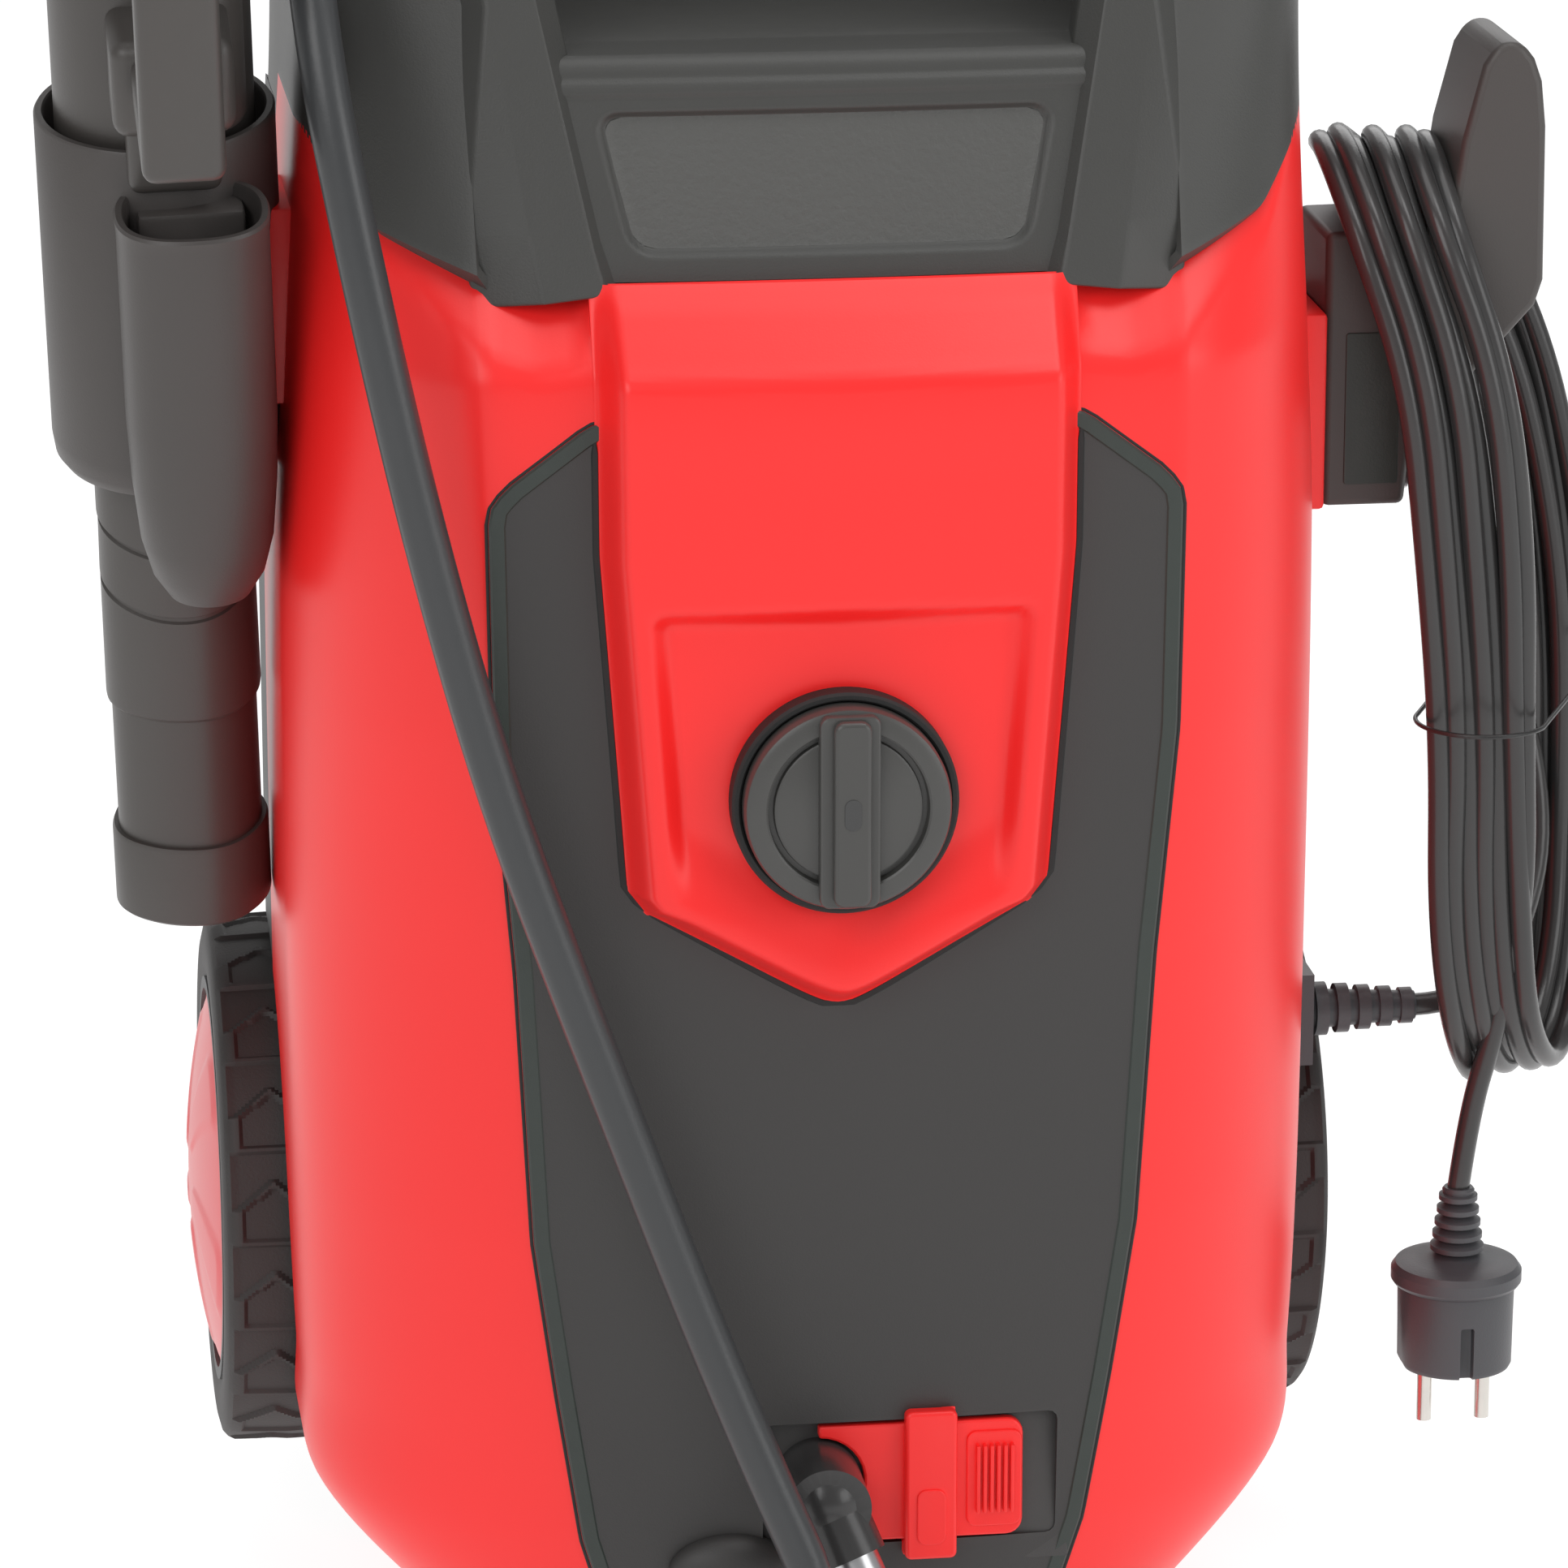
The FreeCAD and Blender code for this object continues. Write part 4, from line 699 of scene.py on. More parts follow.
def front_y(x, z):
    """The plain front's depth."""
    half = line_through(PANEL_HALF, z)
    return curve_through(FRONT_FACE, z) + 0.003 * min(1.0, abs(x) / half) ** 2


def flank_point(b, z):
    """A point of the flank, from the panel's edge at 0 to the flat side at 1."""
    half, wide = line_through(PANEL_HALF, z), curve_through(SHELL_HALF, z)
    first = Vector((half, curve_through(FRONT_FACE, z) + 0.003))
    second = first + Vector((1.0, 0.35)) * 0.45 * (wide - half)
    last = Vector((wide, FLANK_END))
    third = last - Vector((0.0, 0.045))
    c = 1.0 - b
    return first * c**3 + second * 3 * c * c * b + third * 3 * c * b * b + last * b**3


def faced(piece, centre):
    """Turn an open sheet's faces away from a place inside it."""
    centre = Vector(centre)
    lean = sum((face.center - centre).dot(face.normal) * face.area for face in piece.data.polygons)
    if lean < 0:
        pick(piece)
        bpy.ops.object.mode_set(mode="EDIT")
        bpy.ops.mesh.select_all(action="SELECT")
        bpy.ops.mesh.flip_normals()
        bpy.ops.object.mode_set(mode="OBJECT")
    return piece


def skin(name, across, along, place, thickness, centre=(0.0, 0.1, 0.3), angle=32.0):
    """A sheet with a wall on its inner side."""
    piece = tidy(sheet(name, across, along, place), angle)
    walled(faced(piece, centre), thickness)
    return tidy(piece, angle)


def carved(piece, *cutters):
    """Cut other shapes out of a piece."""
    for cutter in cutters:
        modified(piece, "BOOLEAN", operation="DIFFERENCE", solver="EXACT", object=cutter)
        bpy.data.objects.remove(cutter)
    return tidy(piece)


def disc_cutter(x, radius, depth):
    settle()
    bpy.ops.mesh.primitive_cylinder_add(
        vertices=96, radius=radius, depth=depth, location=(x, AXLE_Y, AXLE_Z),
        rotation=(0.0, math.pi / 2, 0.0)
    )
    return named("disc_cutter")


def band(name, path, profile):
    """A strip that follows a closed path on the front; its profile is pairs of (inwards, outwards)."""
    count = len(path)
    last = len(profile) - 1

    def place(s, t):
        i = round(s * count)
        here, before, after = (Vector(path[(i + k) % count]) for k in (0, -1, 1))
        run = (after - before).normalized()
        inwards, outwards = profile[round(t * last)]
        spot = here + Vector((-run.y, run.x)) * inwards
        return Vector((spot.x, front_y(spot.x, spot.y) - outwards, spot.y))

    return tidy(sheet(name, count, last, place), merge=SEAM_MERGE)


def bead(width, height, sunk=-0.002, start=0.0):
    """A closed strip profile with softened edges."""
    soft = min(width, height - sunk) * 0.22
    return [
        (start, sunk), (start, height - soft), (start + soft, height),
        (start + width - soft, height), (start + width, height - soft), (start + width, sunk), (start, sunk),
    ]


def panel_half(z):
    """Half of the panel's width, with its rounded corners."""
    if z <= PANEL_CORNERS_LOW[-1][0]:
        return line_through(PANEL_CORNERS_LOW, z)
    if z >= PANEL_CORNERS_HIGH[0][0]:
        return line_through(PANEL_CORNERS_HIGH, z)
    return line_through(PANEL_HALF, z)


def panel_rows():
    middle = [0.035 + 0.0035 * i for i in range(101) if 0.035 + 0.0035 * i < 0.387]
    return [z for z, _ in PANEL_CORNERS_LOW] + middle + [z for z, _ in PANEL_CORNERS_HIGH]


def loop_of(right, across=14):
    """A closed path from its right edge, low to high, mirrored on the left."""
    low, high = right[0], right[-1]
    bottom = [(low[0] * (2.0 * i / across - 1.0), low[1]) for i in range(1, across)]
    top = [(high[0] * (1.0 - 2.0 * i / across), high[1]) for i in range(1, across)]
    left = [(-x, z) for x, z in reversed(right)]
    return bottom + right + top + left


def rounded_box(low, high, radius, steps=5):
    """A rectangle's outline with round corners."""
    points = []
    for cx, cy, start in (
        (high[0] - radius, low[1] + radius, -90), (high[0] - radius, high[1] - radius, 0),
        (low[0] + radius, high[1] - radius, 90), (low[0] + radius, low[1] + radius, 180),
    ):
        for i in range(steps + 1):
            angle = math.radians(start + 90.0 * i / steps)
            points.append((cx + radius * math.cos(angle), cy + radius * math.sin(angle)))
    return points


# ---------------------------------------------------------------- red shell


def shell_place(s, t):
    u = 2.0 * s - 1.0
    side, a = (1.0 if u >= 0 else -1.0), abs(u)

    def at(z):
        if a <= 0.40:
            x = line_through(PANEL_HALF, z) * a / 0.40
            hidden = ease((panel_half(min(max(z, PANEL_LOW), PANEL_HIGH)) - 0.005 - x) / 0.004)
            hidden *= ease((z - 0.027) / 0.004) * ease((0.386 - z) / 0.008)
            return x, front_y(x, z) + 0.008 * hidden
        if a <= 0.86:
            return tuple(flank_point((a - 0.40) / 0.46, z))
        return curve_through(SHELL_HALF, z), FLANK_END + (SPLIT - FLANK_END) * (a - 0.86) / 0.14

    across = at(0.457)[0]
    edge = line_through(BROW_EDGE, across) if a <= 0.86 else BROW_SIDE
    z = SHELL_BASE + (edge - SHELL_BASE) * t
    x, y = at(z)
    facet = line_through(BROW_FACET, across)
    return Vector((side * x, y + 0.40 * max(0.0, z - edge + facet), z))


def build_red_shell(settings):
    looks = finishes(settings)
    shell = skin("red_front", 150, 130, shell_place, 0.0035, angle=40.0)
    shell = carved(shell, *(disc_cutter(side * 0.170, 0.092, 0.072) for side in (-1, 1)))
    pads = [
        block("holder_pad", (-0.164, -0.050, 0.406), (-0.148, 0.004, 0.466), bevel=0.0015),
        block("hook_pad", (0.148, -0.038, 0.360), (0.166, 0.016, 0.422), bevel=0.0015),
    ]
    liners = []
    for side in (-1, 1):
        liner = turned(
            "arch_liner",
            [
                (0.0, 0.1330), (0.0935, 0.1330), (0.0935, 0.1500), (0.0920, 0.1500), (0.0920, 0.1345),
                (0.0, 0.1345)
            ],
            (0.0, AXLE_Y, AXLE_Z), (side, 0, 0), 72,
        )
        beyond = block("rear_side", (-0.3, SPLIT, -0.1), (0.3, 0.4, 0.4))
        below = block("low_side", (-0.3, -0.3, -0.1), (0.3, 0.4, 0.054))
        liners.append(carved(liner, beyond, below))
    body = joined("red_front_body", [shell, *pads, *liners])
    finish_piece(body, "housing", "shell_red", looks["shell_red"], "front_shell")


def build_panel(settings):
    looks = finishes(settings)
    rows = panel_rows()

    def place(s, t):
        z = rows[round(t * (len(rows) - 1))]
        x = (2.0 * s - 1.0) * panel_half(z)
        return Vector((x, front_y(x, z) - 0.0006, z))

    plate = skin("panel_plate", 60, len(rows) - 1, place, 0.0042)
    plate = carved(
        plate, block("pocket", (-0.022, -0.160, 0.0625), (0.0688, -0.100, 0.1035), bevel=0.003, segments=3)
    )
    floor = block("panel_pocket_floor", (-0.037, -0.1300, 0.054), (0.073, -0.1262, 0.112), bevel=0.0006)
    settle()
    bpy.ops.mesh.primitive_uv_sphere_add(
        segments=40, ring_count=20, radius=0.019, location=(-0.032, -0.1325, 0.056)
    )
    bump = named("panel_bump")
    bump.scale = (1.0, 0.42, 0.62)
    bpy.ops.object.transform_apply(location=True, rotation=True, scale=True)
    tidy(bump)
    whole = joined("panel_body", [plate, floor, bump])
    finish_piece(whole, "housing", "shell_black", looks["panel_black"], "front_panel")
    outline = loop_of([(panel_half(z), z) for z in rows])
    border = band("panel_border", outline, bead(0.0052, 0.0011))
    finish_piece(border, "housing", "shell_black", looks["panel_rim"])
    # painted shade: a thin near-black ribbon round the panel's outline stands in for the shadow in the gap
    # between panel and red shell
    gap_shade = band("panel_seam_shade", outline, bead(0.0011, 0.00015, start=-0.0011))
    finish_piece(gap_shade, "housing", "shell_black", looks["painted_gap_shade"])


def tongue_low(share):
    return 0.238 + 0.030 * (math.sqrt(share * share + 0.012) - math.sqrt(0.012)) / 0.8963


def build_tongue(settings):
    looks = finishes(settings)
    high = COVER_FOOT
    rise = [(0.20, 0.0125), (0.431, 0.0125), (0.450, 0.0056), (0.457, 0.0014)]

    def place(s, t):
        share = math.sin((2.0 * s - 1.0) * math.pi / 2)
        low = tongue_low(share)
        z = low + (high - low) * t**1.35
        half = line_through(TONGUE_HALF, z)
        x = share * half
        nearest = min(half - abs(x), (z - low) * 0.88)
        wall = ease(nearest / 0.0085)
        sunk = (
            0.0060
            * ease((0.364 - z) / 0.006)
            * ease((half - 0.0115 - abs(x)) / 0.008)
            * ease((z - low - 0.010) / 0.030)
        )
        crown = 0.0012 * (1.0 - (x / half) ** 2) * wall
        out = line_through(rise, z) * wall + crown - sunk + 0.0004
        return Vector((x, front_y(x, z) - out, z))

    tongue = skin("tongue", 90, 120, place, 0.0030, angle=50.0)
    finish_piece(tongue, "housing", "shell_red", looks["shell_red"])
    right = [(i / 12 * 0.055, tongue_low(i / 12)) for i in range(1, 13)]
    right += [(0.0605, 0.2725), (0.0640, 0.2775)] + [
        (line_through(TONGUE_HALF, z), z)
        for z in [0.284 + 0.005 * i for i in range(27)]
    ]
    # painted shade: a near-black ribbon round the tongue's outline stands in for the shadow where the tongue
    # meets the panel
    gap_shade = band("tongue_seam_shade", loop_of(right, 4), bead(0.0026, 0.0010, start=-0.0013))
    finish_piece(gap_shade, "housing", "shell_black", looks["painted_gap_shade"])


def build_knob(settings):
    looks = finishes(settings)
    at, out = (0.0, 0.0, KNOB_RISE), (0, -1, 0)
    base = turned(
        "knob_base",
        [
            (0.0, 0.1430), (0.0338, 0.1430), (0.0338, 0.1543), (0.0330, 0.1551), (0.0318, 0.1551),
            (0.0312, 0.1545), (0.0312, 0.1520), (0.0, 0.1520)
        ],
        at, out, 96,
    )
    # painted shade: the seat ring round the knob gets the near-black gap shade, standing in for the shadow
    # where the knob sits in its recess
    finish_piece(base, "housing", "knob_black", looks["painted_gap_shade"], "knob_seat")
    disc = turned(
        "knob_disc",
        [
            (0.0, 0.1530), (0.0305, 0.1530), (0.0308, 0.1535), (0.0308, 0.1598), (0.0302, 0.1612),
            (0.0288, 0.1620),
            (0.0246, 0.1622), (0.0240, 0.1618), (0.0236, 0.1590), (0.0222, 0.1590), (0.0219, 0.1606),
            (0.0212, 0.1610),
            (0.0, 0.1610),
        ],
        at, out, 96,
    )
    low, high = KNOB_RISE - 0.0292, KNOB_RISE + 0.0292
    bar = slab("knob_bar", rounded_box((-0.0090, low), (0.0090, high), 0.003), -0.0060, "XZ", -0.1590, 0.0008)
    crest = slab(
        "knob_crest", rounded_box((-0.0052, low + 0.001), (0.0060, high - 0.001), 0.003), -0.0050, "XZ",
        -0.1632, 0.0014, 3
    )
    knob = joined("knob_turned", [disc, bar, crest])
    finish_piece(knob, "switch", "knob_black", looks["knob_black"], "switch_knob")
    mark = slab(
        "knob_mark", rounded_box((-0.0022, KNOB_RISE - 0.0045), (0.0028, KNOB_RISE + 0.0050), 0.0024),
        -0.0006, "XZ", -0.1679, 0.0002
    )
    finish_piece(mark, "switch", "knob_black", looks["rim_black"])


def build_lock(settings):
    looks = finishes(settings)
    notch = [
        (-0.005 + 0.014 * math.cos(math.radians(a)), 0.084 + 0.014 * math.sin(math.radians(a)))
        for a in range(90, -91, -12)
    ]
    right = rounded_box((0.0, 0.064), (0.058, 0.102), 0.005)
    right = [p for p in right if p[0] > 0.02]
    plate = slab(
        "lock_sheet", [(-0.005, 0.064), *right, (-0.005, 0.102), *notch], -0.0042, "XZ", -0.1304, 0.0009
    )
    frame_bar = slab(
        "lock_lip", rounded_box((0.0405, 0.0675), (0.0575, 0.0985), 0.003), -0.0012, "XZ", -0.1344, 0.0005
    )
    ribs = [
        block(
            f"lock_grip_{i}", (0.0432 + 0.0021 * i, -0.1380, 0.0725), (0.0444 + 0.0021 * i, -0.1350, 0.0945),
            bevel=0.0004
        )
        for i in range(6)
    ]
    whole = joined("lock_plate_red", [plate, frame_bar, *ribs])
    finish_piece(whole, "hose_lock", "shell_red", looks["shell_red"], "hose_lock_slide")
    outer = slab(
        "bridge_red", rounded_box((0.021, 0.059), (0.037, 0.107), 0.002), -0.0052, "XZ", -0.1346, 0.0012, 3
    )
    feet = [
        block("bridge_foot", (0.021, -0.1352, z), (0.037, -0.1298, z + 0.0042), bevel=0.0006)
        for z in (0.0590, 0.1028)
    ]
    arch = slab(
        "bridge_arch", rounded_box((0.0245, 0.0640), (0.0335, 0.0820), 0.0030), -0.0010, "XZ", -0.1395, 0.0004
    )
    bridge = joined("lock_bridge_red", [outer, *feet, arch])
    finish_piece(bridge, "housing", "shell_red", looks["shell_red"], "hose_lock_bridge")


# ---------------------------------------------------------------- top cover

COVER_REAR_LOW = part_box("top_cover")[0].z
DECK_RISE = 0.519
# how far the middle curves back at its sides
MIDDLE_CROWN = 0.0022
FIELD_LOW, FIELD_HIGH, FIELD_RISE = 0.4650, 0.5020, 0.0370
FIELD_CORNER = 0.0060


def cover_wall_point(a, z):
    """The cover's outer wall, from the rear's middle at 0 to the pillar's edge at 1."""
    wide = curve_through(SHELL_HALF, z)
    if a <= 0.30:
        return Vector(((wide - REAR_CORNER) * a / 0.30, REAR_FLAT))
    if a <= 0.42:
        angle = (a - 0.30) / 0.12 * math.pi / 2
        return Vector(
            (wide - REAR_CORNER * (1 - math.sin(angle)), REAR_FLAT - REAR_CORNER * (1 - math.cos(angle)))
        )
    if a <= 0.62:
        return Vector(
            (wide, REAR_FLAT - REAR_CORNER + (FLANK_END - REAR_FLAT + REAR_CORNER) * (a - 0.42) / 0.20)
        )
    return flank_point(1.0 - (a - 0.62) / 0.38, z)


def brow_at(x, y):
    if y < -0.046:
        return line_through(BROW_EDGE, x)
    return BROW_SIDE + (COVER_REAR_LOW - BROW_SIDE) * ease((y - SPLIT + 0.004) / 0.004)


def centre_y(z):
    """How far forward the cover's middle stands."""
    return -0.1240 + (z - COVER_FOOT) / (DECK_RISE - COVER_FOOT) * 0.019


def middle_half(z):
    """Half the width of the cover's middle."""
    return 0.0705 + (z - COVER_FOOT) / 0.0625 * 0.0145


def field_half(z, foot):
    """Half the width of the sunk field, which widens upwards from its foot."""
    return foot + (z - 0.4625) / 0.042 * 0.0100


def recess_depth(x, z):
    """How deep the sunk field between the pillars is."""
    half = field_half(z, 0.0592)
    radius = 0.008
    across, upwards = abs(x) - (half - radius), abs(z - 0.4835) - (0.0210 - radius)
    distance = math.hypot(max(across, 0.0), max(upwards, 0.0)) + min(max(across, upwards), 0.0) - radius
    return 0.0028 * ease(-distance / 0.0032)


def build_cover(settings):
    looks = finishes(settings)

    def wall(s, t):
        u = 2.0 * s - 1.0
        side, a = (1.0 if u >= 0 else -1.0), abs(u)
        rough = cover_wall_point(a, 0.48)
        low = brow_at(rough.x, rough.y)
        if t < 0.01:
            spot = cover_wall_point(a, low)
            return Vector(
                (side * (spot.x - 0.0045), spot.y + (0.0045 if spot.y < 0 else -0.0045), low - 0.007)
            )
        z = low + (COVER_TOP - low) * (t - 0.025) / 0.975
        spot = cover_wall_point(a, z)
        return Vector((side * spot.x, spot.y, z))

    walls = skin("cover_walls", 180, 40, wall, 0.0030, angle=40.0)
    outer = [cover_wall_point(i / 60, COVER_TOP) for i in range(61)]
    outline = [(p.x, p.y) for p in reversed(outer)] + [(-p.x, p.y) for p in outer[1:]]
    outline += [(-0.0955, -0.080), (-0.0955, 0.022), (0.0955, 0.022), (0.0955, -0.080)]
    lid = slab("cover_lid", outline, 0.0040, "XY", COVER_TOP - 0.0040, 0.0008)
    deck = block("cover_deck", (-0.098, -0.096, DECK_RISE - 0.004), (0.098, 0.025, DECK_RISE), bevel=0.001)
    rear = block(
        "cover_deck_rear", (-0.098, 0.0195, DECK_RISE - 0.004), (0.098, 0.0240, COVER_TOP - 0.001),
        bevel=0.001
    )
    sides = [
        block(
            "cover_deck_side", (min(x, x + 0.004 * s), -0.086, DECK_RISE - 0.004),
            (max(x, x + 0.004 * s), 0.024, COVER_TOP - 0.001), bevel=0.001
        )
        for x, s in ((-0.0955, -1), (0.0955, 1))
    ]
    body = joined("cover_body", [walls, lid, deck, rear, *sides])
    finish_piece(body, "housing", "shell_black", looks["cover_black"], "top_cover")

    rows = [0.4480, 0.4550] + [0.4562 + 0.0008 * i for i in range(73)]
    roll = [math.radians(9 * i) for i in range(1, 11)]

    def middle(s, t):
        i = round(t * (len(rows) + len(roll) + 5))
        share = 2.0 * s - 1.0
        if i < len(rows):
            z = rows[i]
            x = share * middle_half(z)
            lip = 0.0011 * ease((z - 0.5075) / 0.002) * ease((0.5135 - z) / 0.002)
            tucked = 0.006 if i < 2 else 0.0
            return Vector(
                (x, centre_y(z) + tucked + recess_depth(x, z) + MIDDLE_CROWN * share * share - lip, z)
            )
        if i < len(rows) + len(roll):
            angle = roll[i - len(rows)]
            z = rows[-1] + 0.0055 * math.sin(angle)
            y = centre_y(rows[-1]) + 0.0055 * (1.0 - math.cos(angle)) + MIDDLE_CROWN * share * share
            return Vector((share * 0.0845, y, z))
        step = i - len(rows) - len(roll) + 1
        return Vector((share * 0.0855, centre_y(rows[-1]) + 0.0055 + 0.004 * step, rows[-1] + 0.0055))

    front = skin("cover_front", 110, len(rows) + len(roll) + 5, middle, 0.0025, angle=45.0)
    finish_piece(front, "housing", "shell_black", looks["cover_black"])

    def field(s, t):
        z = FIELD_LOW + FIELD_RISE * t
        corner = max(0.0, FIELD_CORNER - min(z - FIELD_LOW, FIELD_HIGH - z))
        half = field_half(z, 0.0566)
        half -= FIELD_CORNER - math.sqrt(max(0.0, FIELD_CORNER**2 - corner**2))
        x = (2.0 * s - 1.0) * half
        spread = MIDDLE_CROWN * (x / middle_half(z)) ** 2
        return Vector((x, centre_y(z) + 0.0024 + spread, z))

    grained = skin("cover_field", 40, 36, field, 0.0008)
    finish_piece(grained, "housing", "shell_black", looks["cover_grained"])


def build_pillars(settings):
    looks = finishes(settings)
    levels = [
        # rise, inner edge, outer edge, front
        (0.4510, 0.0640, 0.0850, -0.1278),
        (0.4700, 0.0680, 0.0885, -0.1215),
        (0.5340, 0.0810, 0.0990, -0.1020),
        (0.5900, 0.0920, 0.1080, -0.0860),
    ]

    def place(s, t):
        z, inner, outer, front = levels[round(t * 3)]
        wall_x, wall_y = flank_point(0.03, z)
        section = [
            (inner, front + 0.034), (inner - 0.0035, front + 0.008), (inner + 0.0030, front),
            (outer, front + 0.0005),
            (wall_x, wall_y + (0.0070 if t == 0 else 0.0012)), (wall_x, front + 0.034),
        ]
        x, y = section[round(s * 6) % 6]
        foot = 0.0035 * (outer - x) / 0.03 if t == 0 else 0.0
        return Vector((x, y, z + foot))

    pillar = sheet("pillar_right", 6, 3, place)
    tidy(pillar, merge=SEAM_MERGE)
    pick(pillar)
    bpy.ops.object.mode_set(mode="EDIT")
    bpy.ops.mesh.select_all(action="SELECT")
    bpy.ops.mesh.select_non_manifold()
    bpy.ops.mesh.edge_face_add()
    bpy.ops.object.mode_set(mode="OBJECT")
    modified(pillar, "TRIANGULATE")
    bevelled(tidy(pillar, 14.0), 0.0011, 3, 14.0)
    tidy(pillar, 30.0)
    twin = mirror_copy(pillar, "pillar_left")
    finish_piece(pillar, "housing", "shell_black", looks["cover_black"])
    finish_piece(twin, "housing", "shell_black", looks["cover_black"])


# ---------------------------------------------------------------- gun and its holder

GUN_FRAME = (
    Matrix.Translation((-0.193, -0.042, 0.497))
    @ Matrix.Rotation(math.radians(13.0), 4, "X")
    @ Matrix.Rotation(math.radians(-2.0), 4, "Y")
)


def leaned(piece):
    """Put a piece that was built upright into the gun's own frame."""
    piece.data.transform(GUN_FRAME)
    piece.data.update()
    return tidy(piece)


def build_holder(settings):
    looks = finishes(settings)
    cup = turned(
        "holder_cup",
        [
            (0.0250, -0.1160), (0.0290, -0.1160), (0.0328, -0.1145), (0.0352, -0.1110), (0.0360, -0.1050),
            (0.0360, -0.0010),
            (0.0354, 0.0), (0.0336, 0.0), (0.0330, -0.0010), (0.0330, -0.1050), (0.0320, -0.1100),
            (0.0290, -0.1130),
            (0.0250, -0.1130), (0.0250, -0.1160),
        ],
        (0, 0, 0), (0, 0, 1), 96,
    )

    def square(angle, height):
        return 0.0016 * abs(math.sin(2.0 * angle)) ** 2 * ease((height + 0.135) / 0.03)

    small = turned(
        "holder_small_cup",
        [
            (0.0, -0.1420), (0.0060, -0.1420), (0.0125, -0.1395), (0.0170, -0.1320), (0.0200, -0.1200),
            (0.0218, -0.1000),
            (0.0226, -0.0800), (0.0226, -0.0200), (0.0230, -0.0150), (0.0224, -0.0140), (0.0206, -0.0140),
            (0.0200, -0.0150),
            (0.0196, -0.0800), (0.0180, -0.1180), (0.0, -0.1250),
        ],
        (0.008, -0.046, 0), (0, 0, 1), 80, square,
    )
    arm = block("holder_arm", (0.020, -0.030, -0.090), (0.0285, 0.024, -0.034), bevel=0.002)
    web = block("holder_web", (-0.008, -0.040, -0.108), (0.024, -0.026, -0.018), bevel=0.002)
    holder = leaned(joined("holder_body", [cup, small, arm, web]))
    finish_piece(holder, "housing", "shell_black", looks["holder_black"], "gun_holder")


def build_gun(settings):
    looks = finishes(settings)
    # radius, height, how far the row dips at the front
    rows = [
        (0.0130, -0.2500, 0), (0.0130, -0.2700, 0), (0.0232, -0.2700, 0), (0.0242, -0.2690, 0),
        (0.0242, -0.2440, 0),
        (0.0236, -0.2425, 0), (0.0222, -0.2425, 0), (0.0222, -0.2060, 0), (0.0222, -0.1980, 0),
        (0.0236, -0.1965, 0),
        (0.0238, -0.1950, 0), (0.0236, -0.1500, 1), (0.0228, -0.1494, 1), (0.0228, -0.1482, 1),
        (0.0237, -0.1476, 1),
        (0.0234, -0.1290, 1), (0.0226, -0.1284, 1), (0.0226, -0.1272, 1), (0.0238, -0.1266, 1),
        (0.0238, -0.1000, 0),
        (0.0238, -0.0420, 0), (0.0270, -0.0300, 0), (0.0298, -0.0190, 0), (0.0300, -0.0170, 0),
        (0.0300, 0.1150, 0),
        (0.0288, 0.1180, 0), (0.0, 0.1180, 0),
    ]

    def place(s, t):
        angle = s * math.tau
        radius, height, dips = rows[round(t * (len(rows) - 1))]
        front = 0.5 - 0.5 * math.sin(angle)
        height -= 0.013 * dips * front**1.5
        if radius > 0.0132:
            radius += 0.0010 * abs(math.sin(2.0 * (angle + 0.35))) ** 3 * (1.0 if height < -0.03 else 0.0)
        return Vector((radius * math.cos(angle), radius * math.sin(angle), height))

    barrel = tidy(sheet("gun_barrel", 120, len(rows) - 1, place), 38.0, SEAM_MERGE)
    parts = [
        barrel,
        block("gun_foot", (-0.014, -0.058, 0.014), (0.022, -0.010, 0.044), bevel=0.005, segments=4),
        block("gun_neck", (-0.010, -0.040, -0.012), (0.018, -0.014, 0.024), bevel=0.004, segments=4),
        block("gun_bow", (-0.008, -0.108, 0.026), (0.016, -0.054, 0.040), bevel=0.004, segments=4),
        block("gun_bow_front", (-0.008, -0.118, 0.026), (0.016, -0.102, 0.128), bevel=0.004, segments=4),
        block("gun_hold", (-0.013, -0.122, 0.1025), (0.021, 0.0, 0.128), bevel=0.007, segments=5),
        turned(
            "gun_swell",
            [(0.0, 0.002), (0.016, 0.002), (0.017, 0.004), (0.017, 0.043), (0.016, 0.045), (0.0, 0.045)],
            (0.010, -0.014, 0), (0, 0, 1), 48
        ),
    ]
    gun = leaned(joined("gun_body", parts))
    finish_piece(
        gun, "housing", "gun_black", looks["gun_black"], "gun_half_left", "gun_half_right", "gun_collar"
    )


# ---------------------------------------------------------------- wheels

CELLS = 18
TYRE_MIDDLE = 0.158
CAP_RINGS = 34
CAP_FOOT = [(0.0, 0.1640), (0.0600, 0.1640), (0.0620, 0.1650), (0.0620, 0.1755)]


def lug(angle, height):
    """How far the tread stands up: rows of house-shaped outlines."""
    across = abs(height) - TYRE_MIDDLE
    if abs(across) > 0.0172:
        return 0.0
    pitch = math.tau * TYRE_RADIUS / CELLS
    along = ((angle / math.tau * CELLS) % 1.0 - 0.5) * pitch
    shape = max(abs(across - 0.004) - 0.0105, -along - 0.0085, along - 0.0105 + abs(across - 0.004) * 0.75)
    if abs(shape) < 0.0012:
        return 0.0013
    if shape < 0:
        return 0.0003
    return 0.0008 if abs(across + 0.0145) < 0.0010 else 0.0


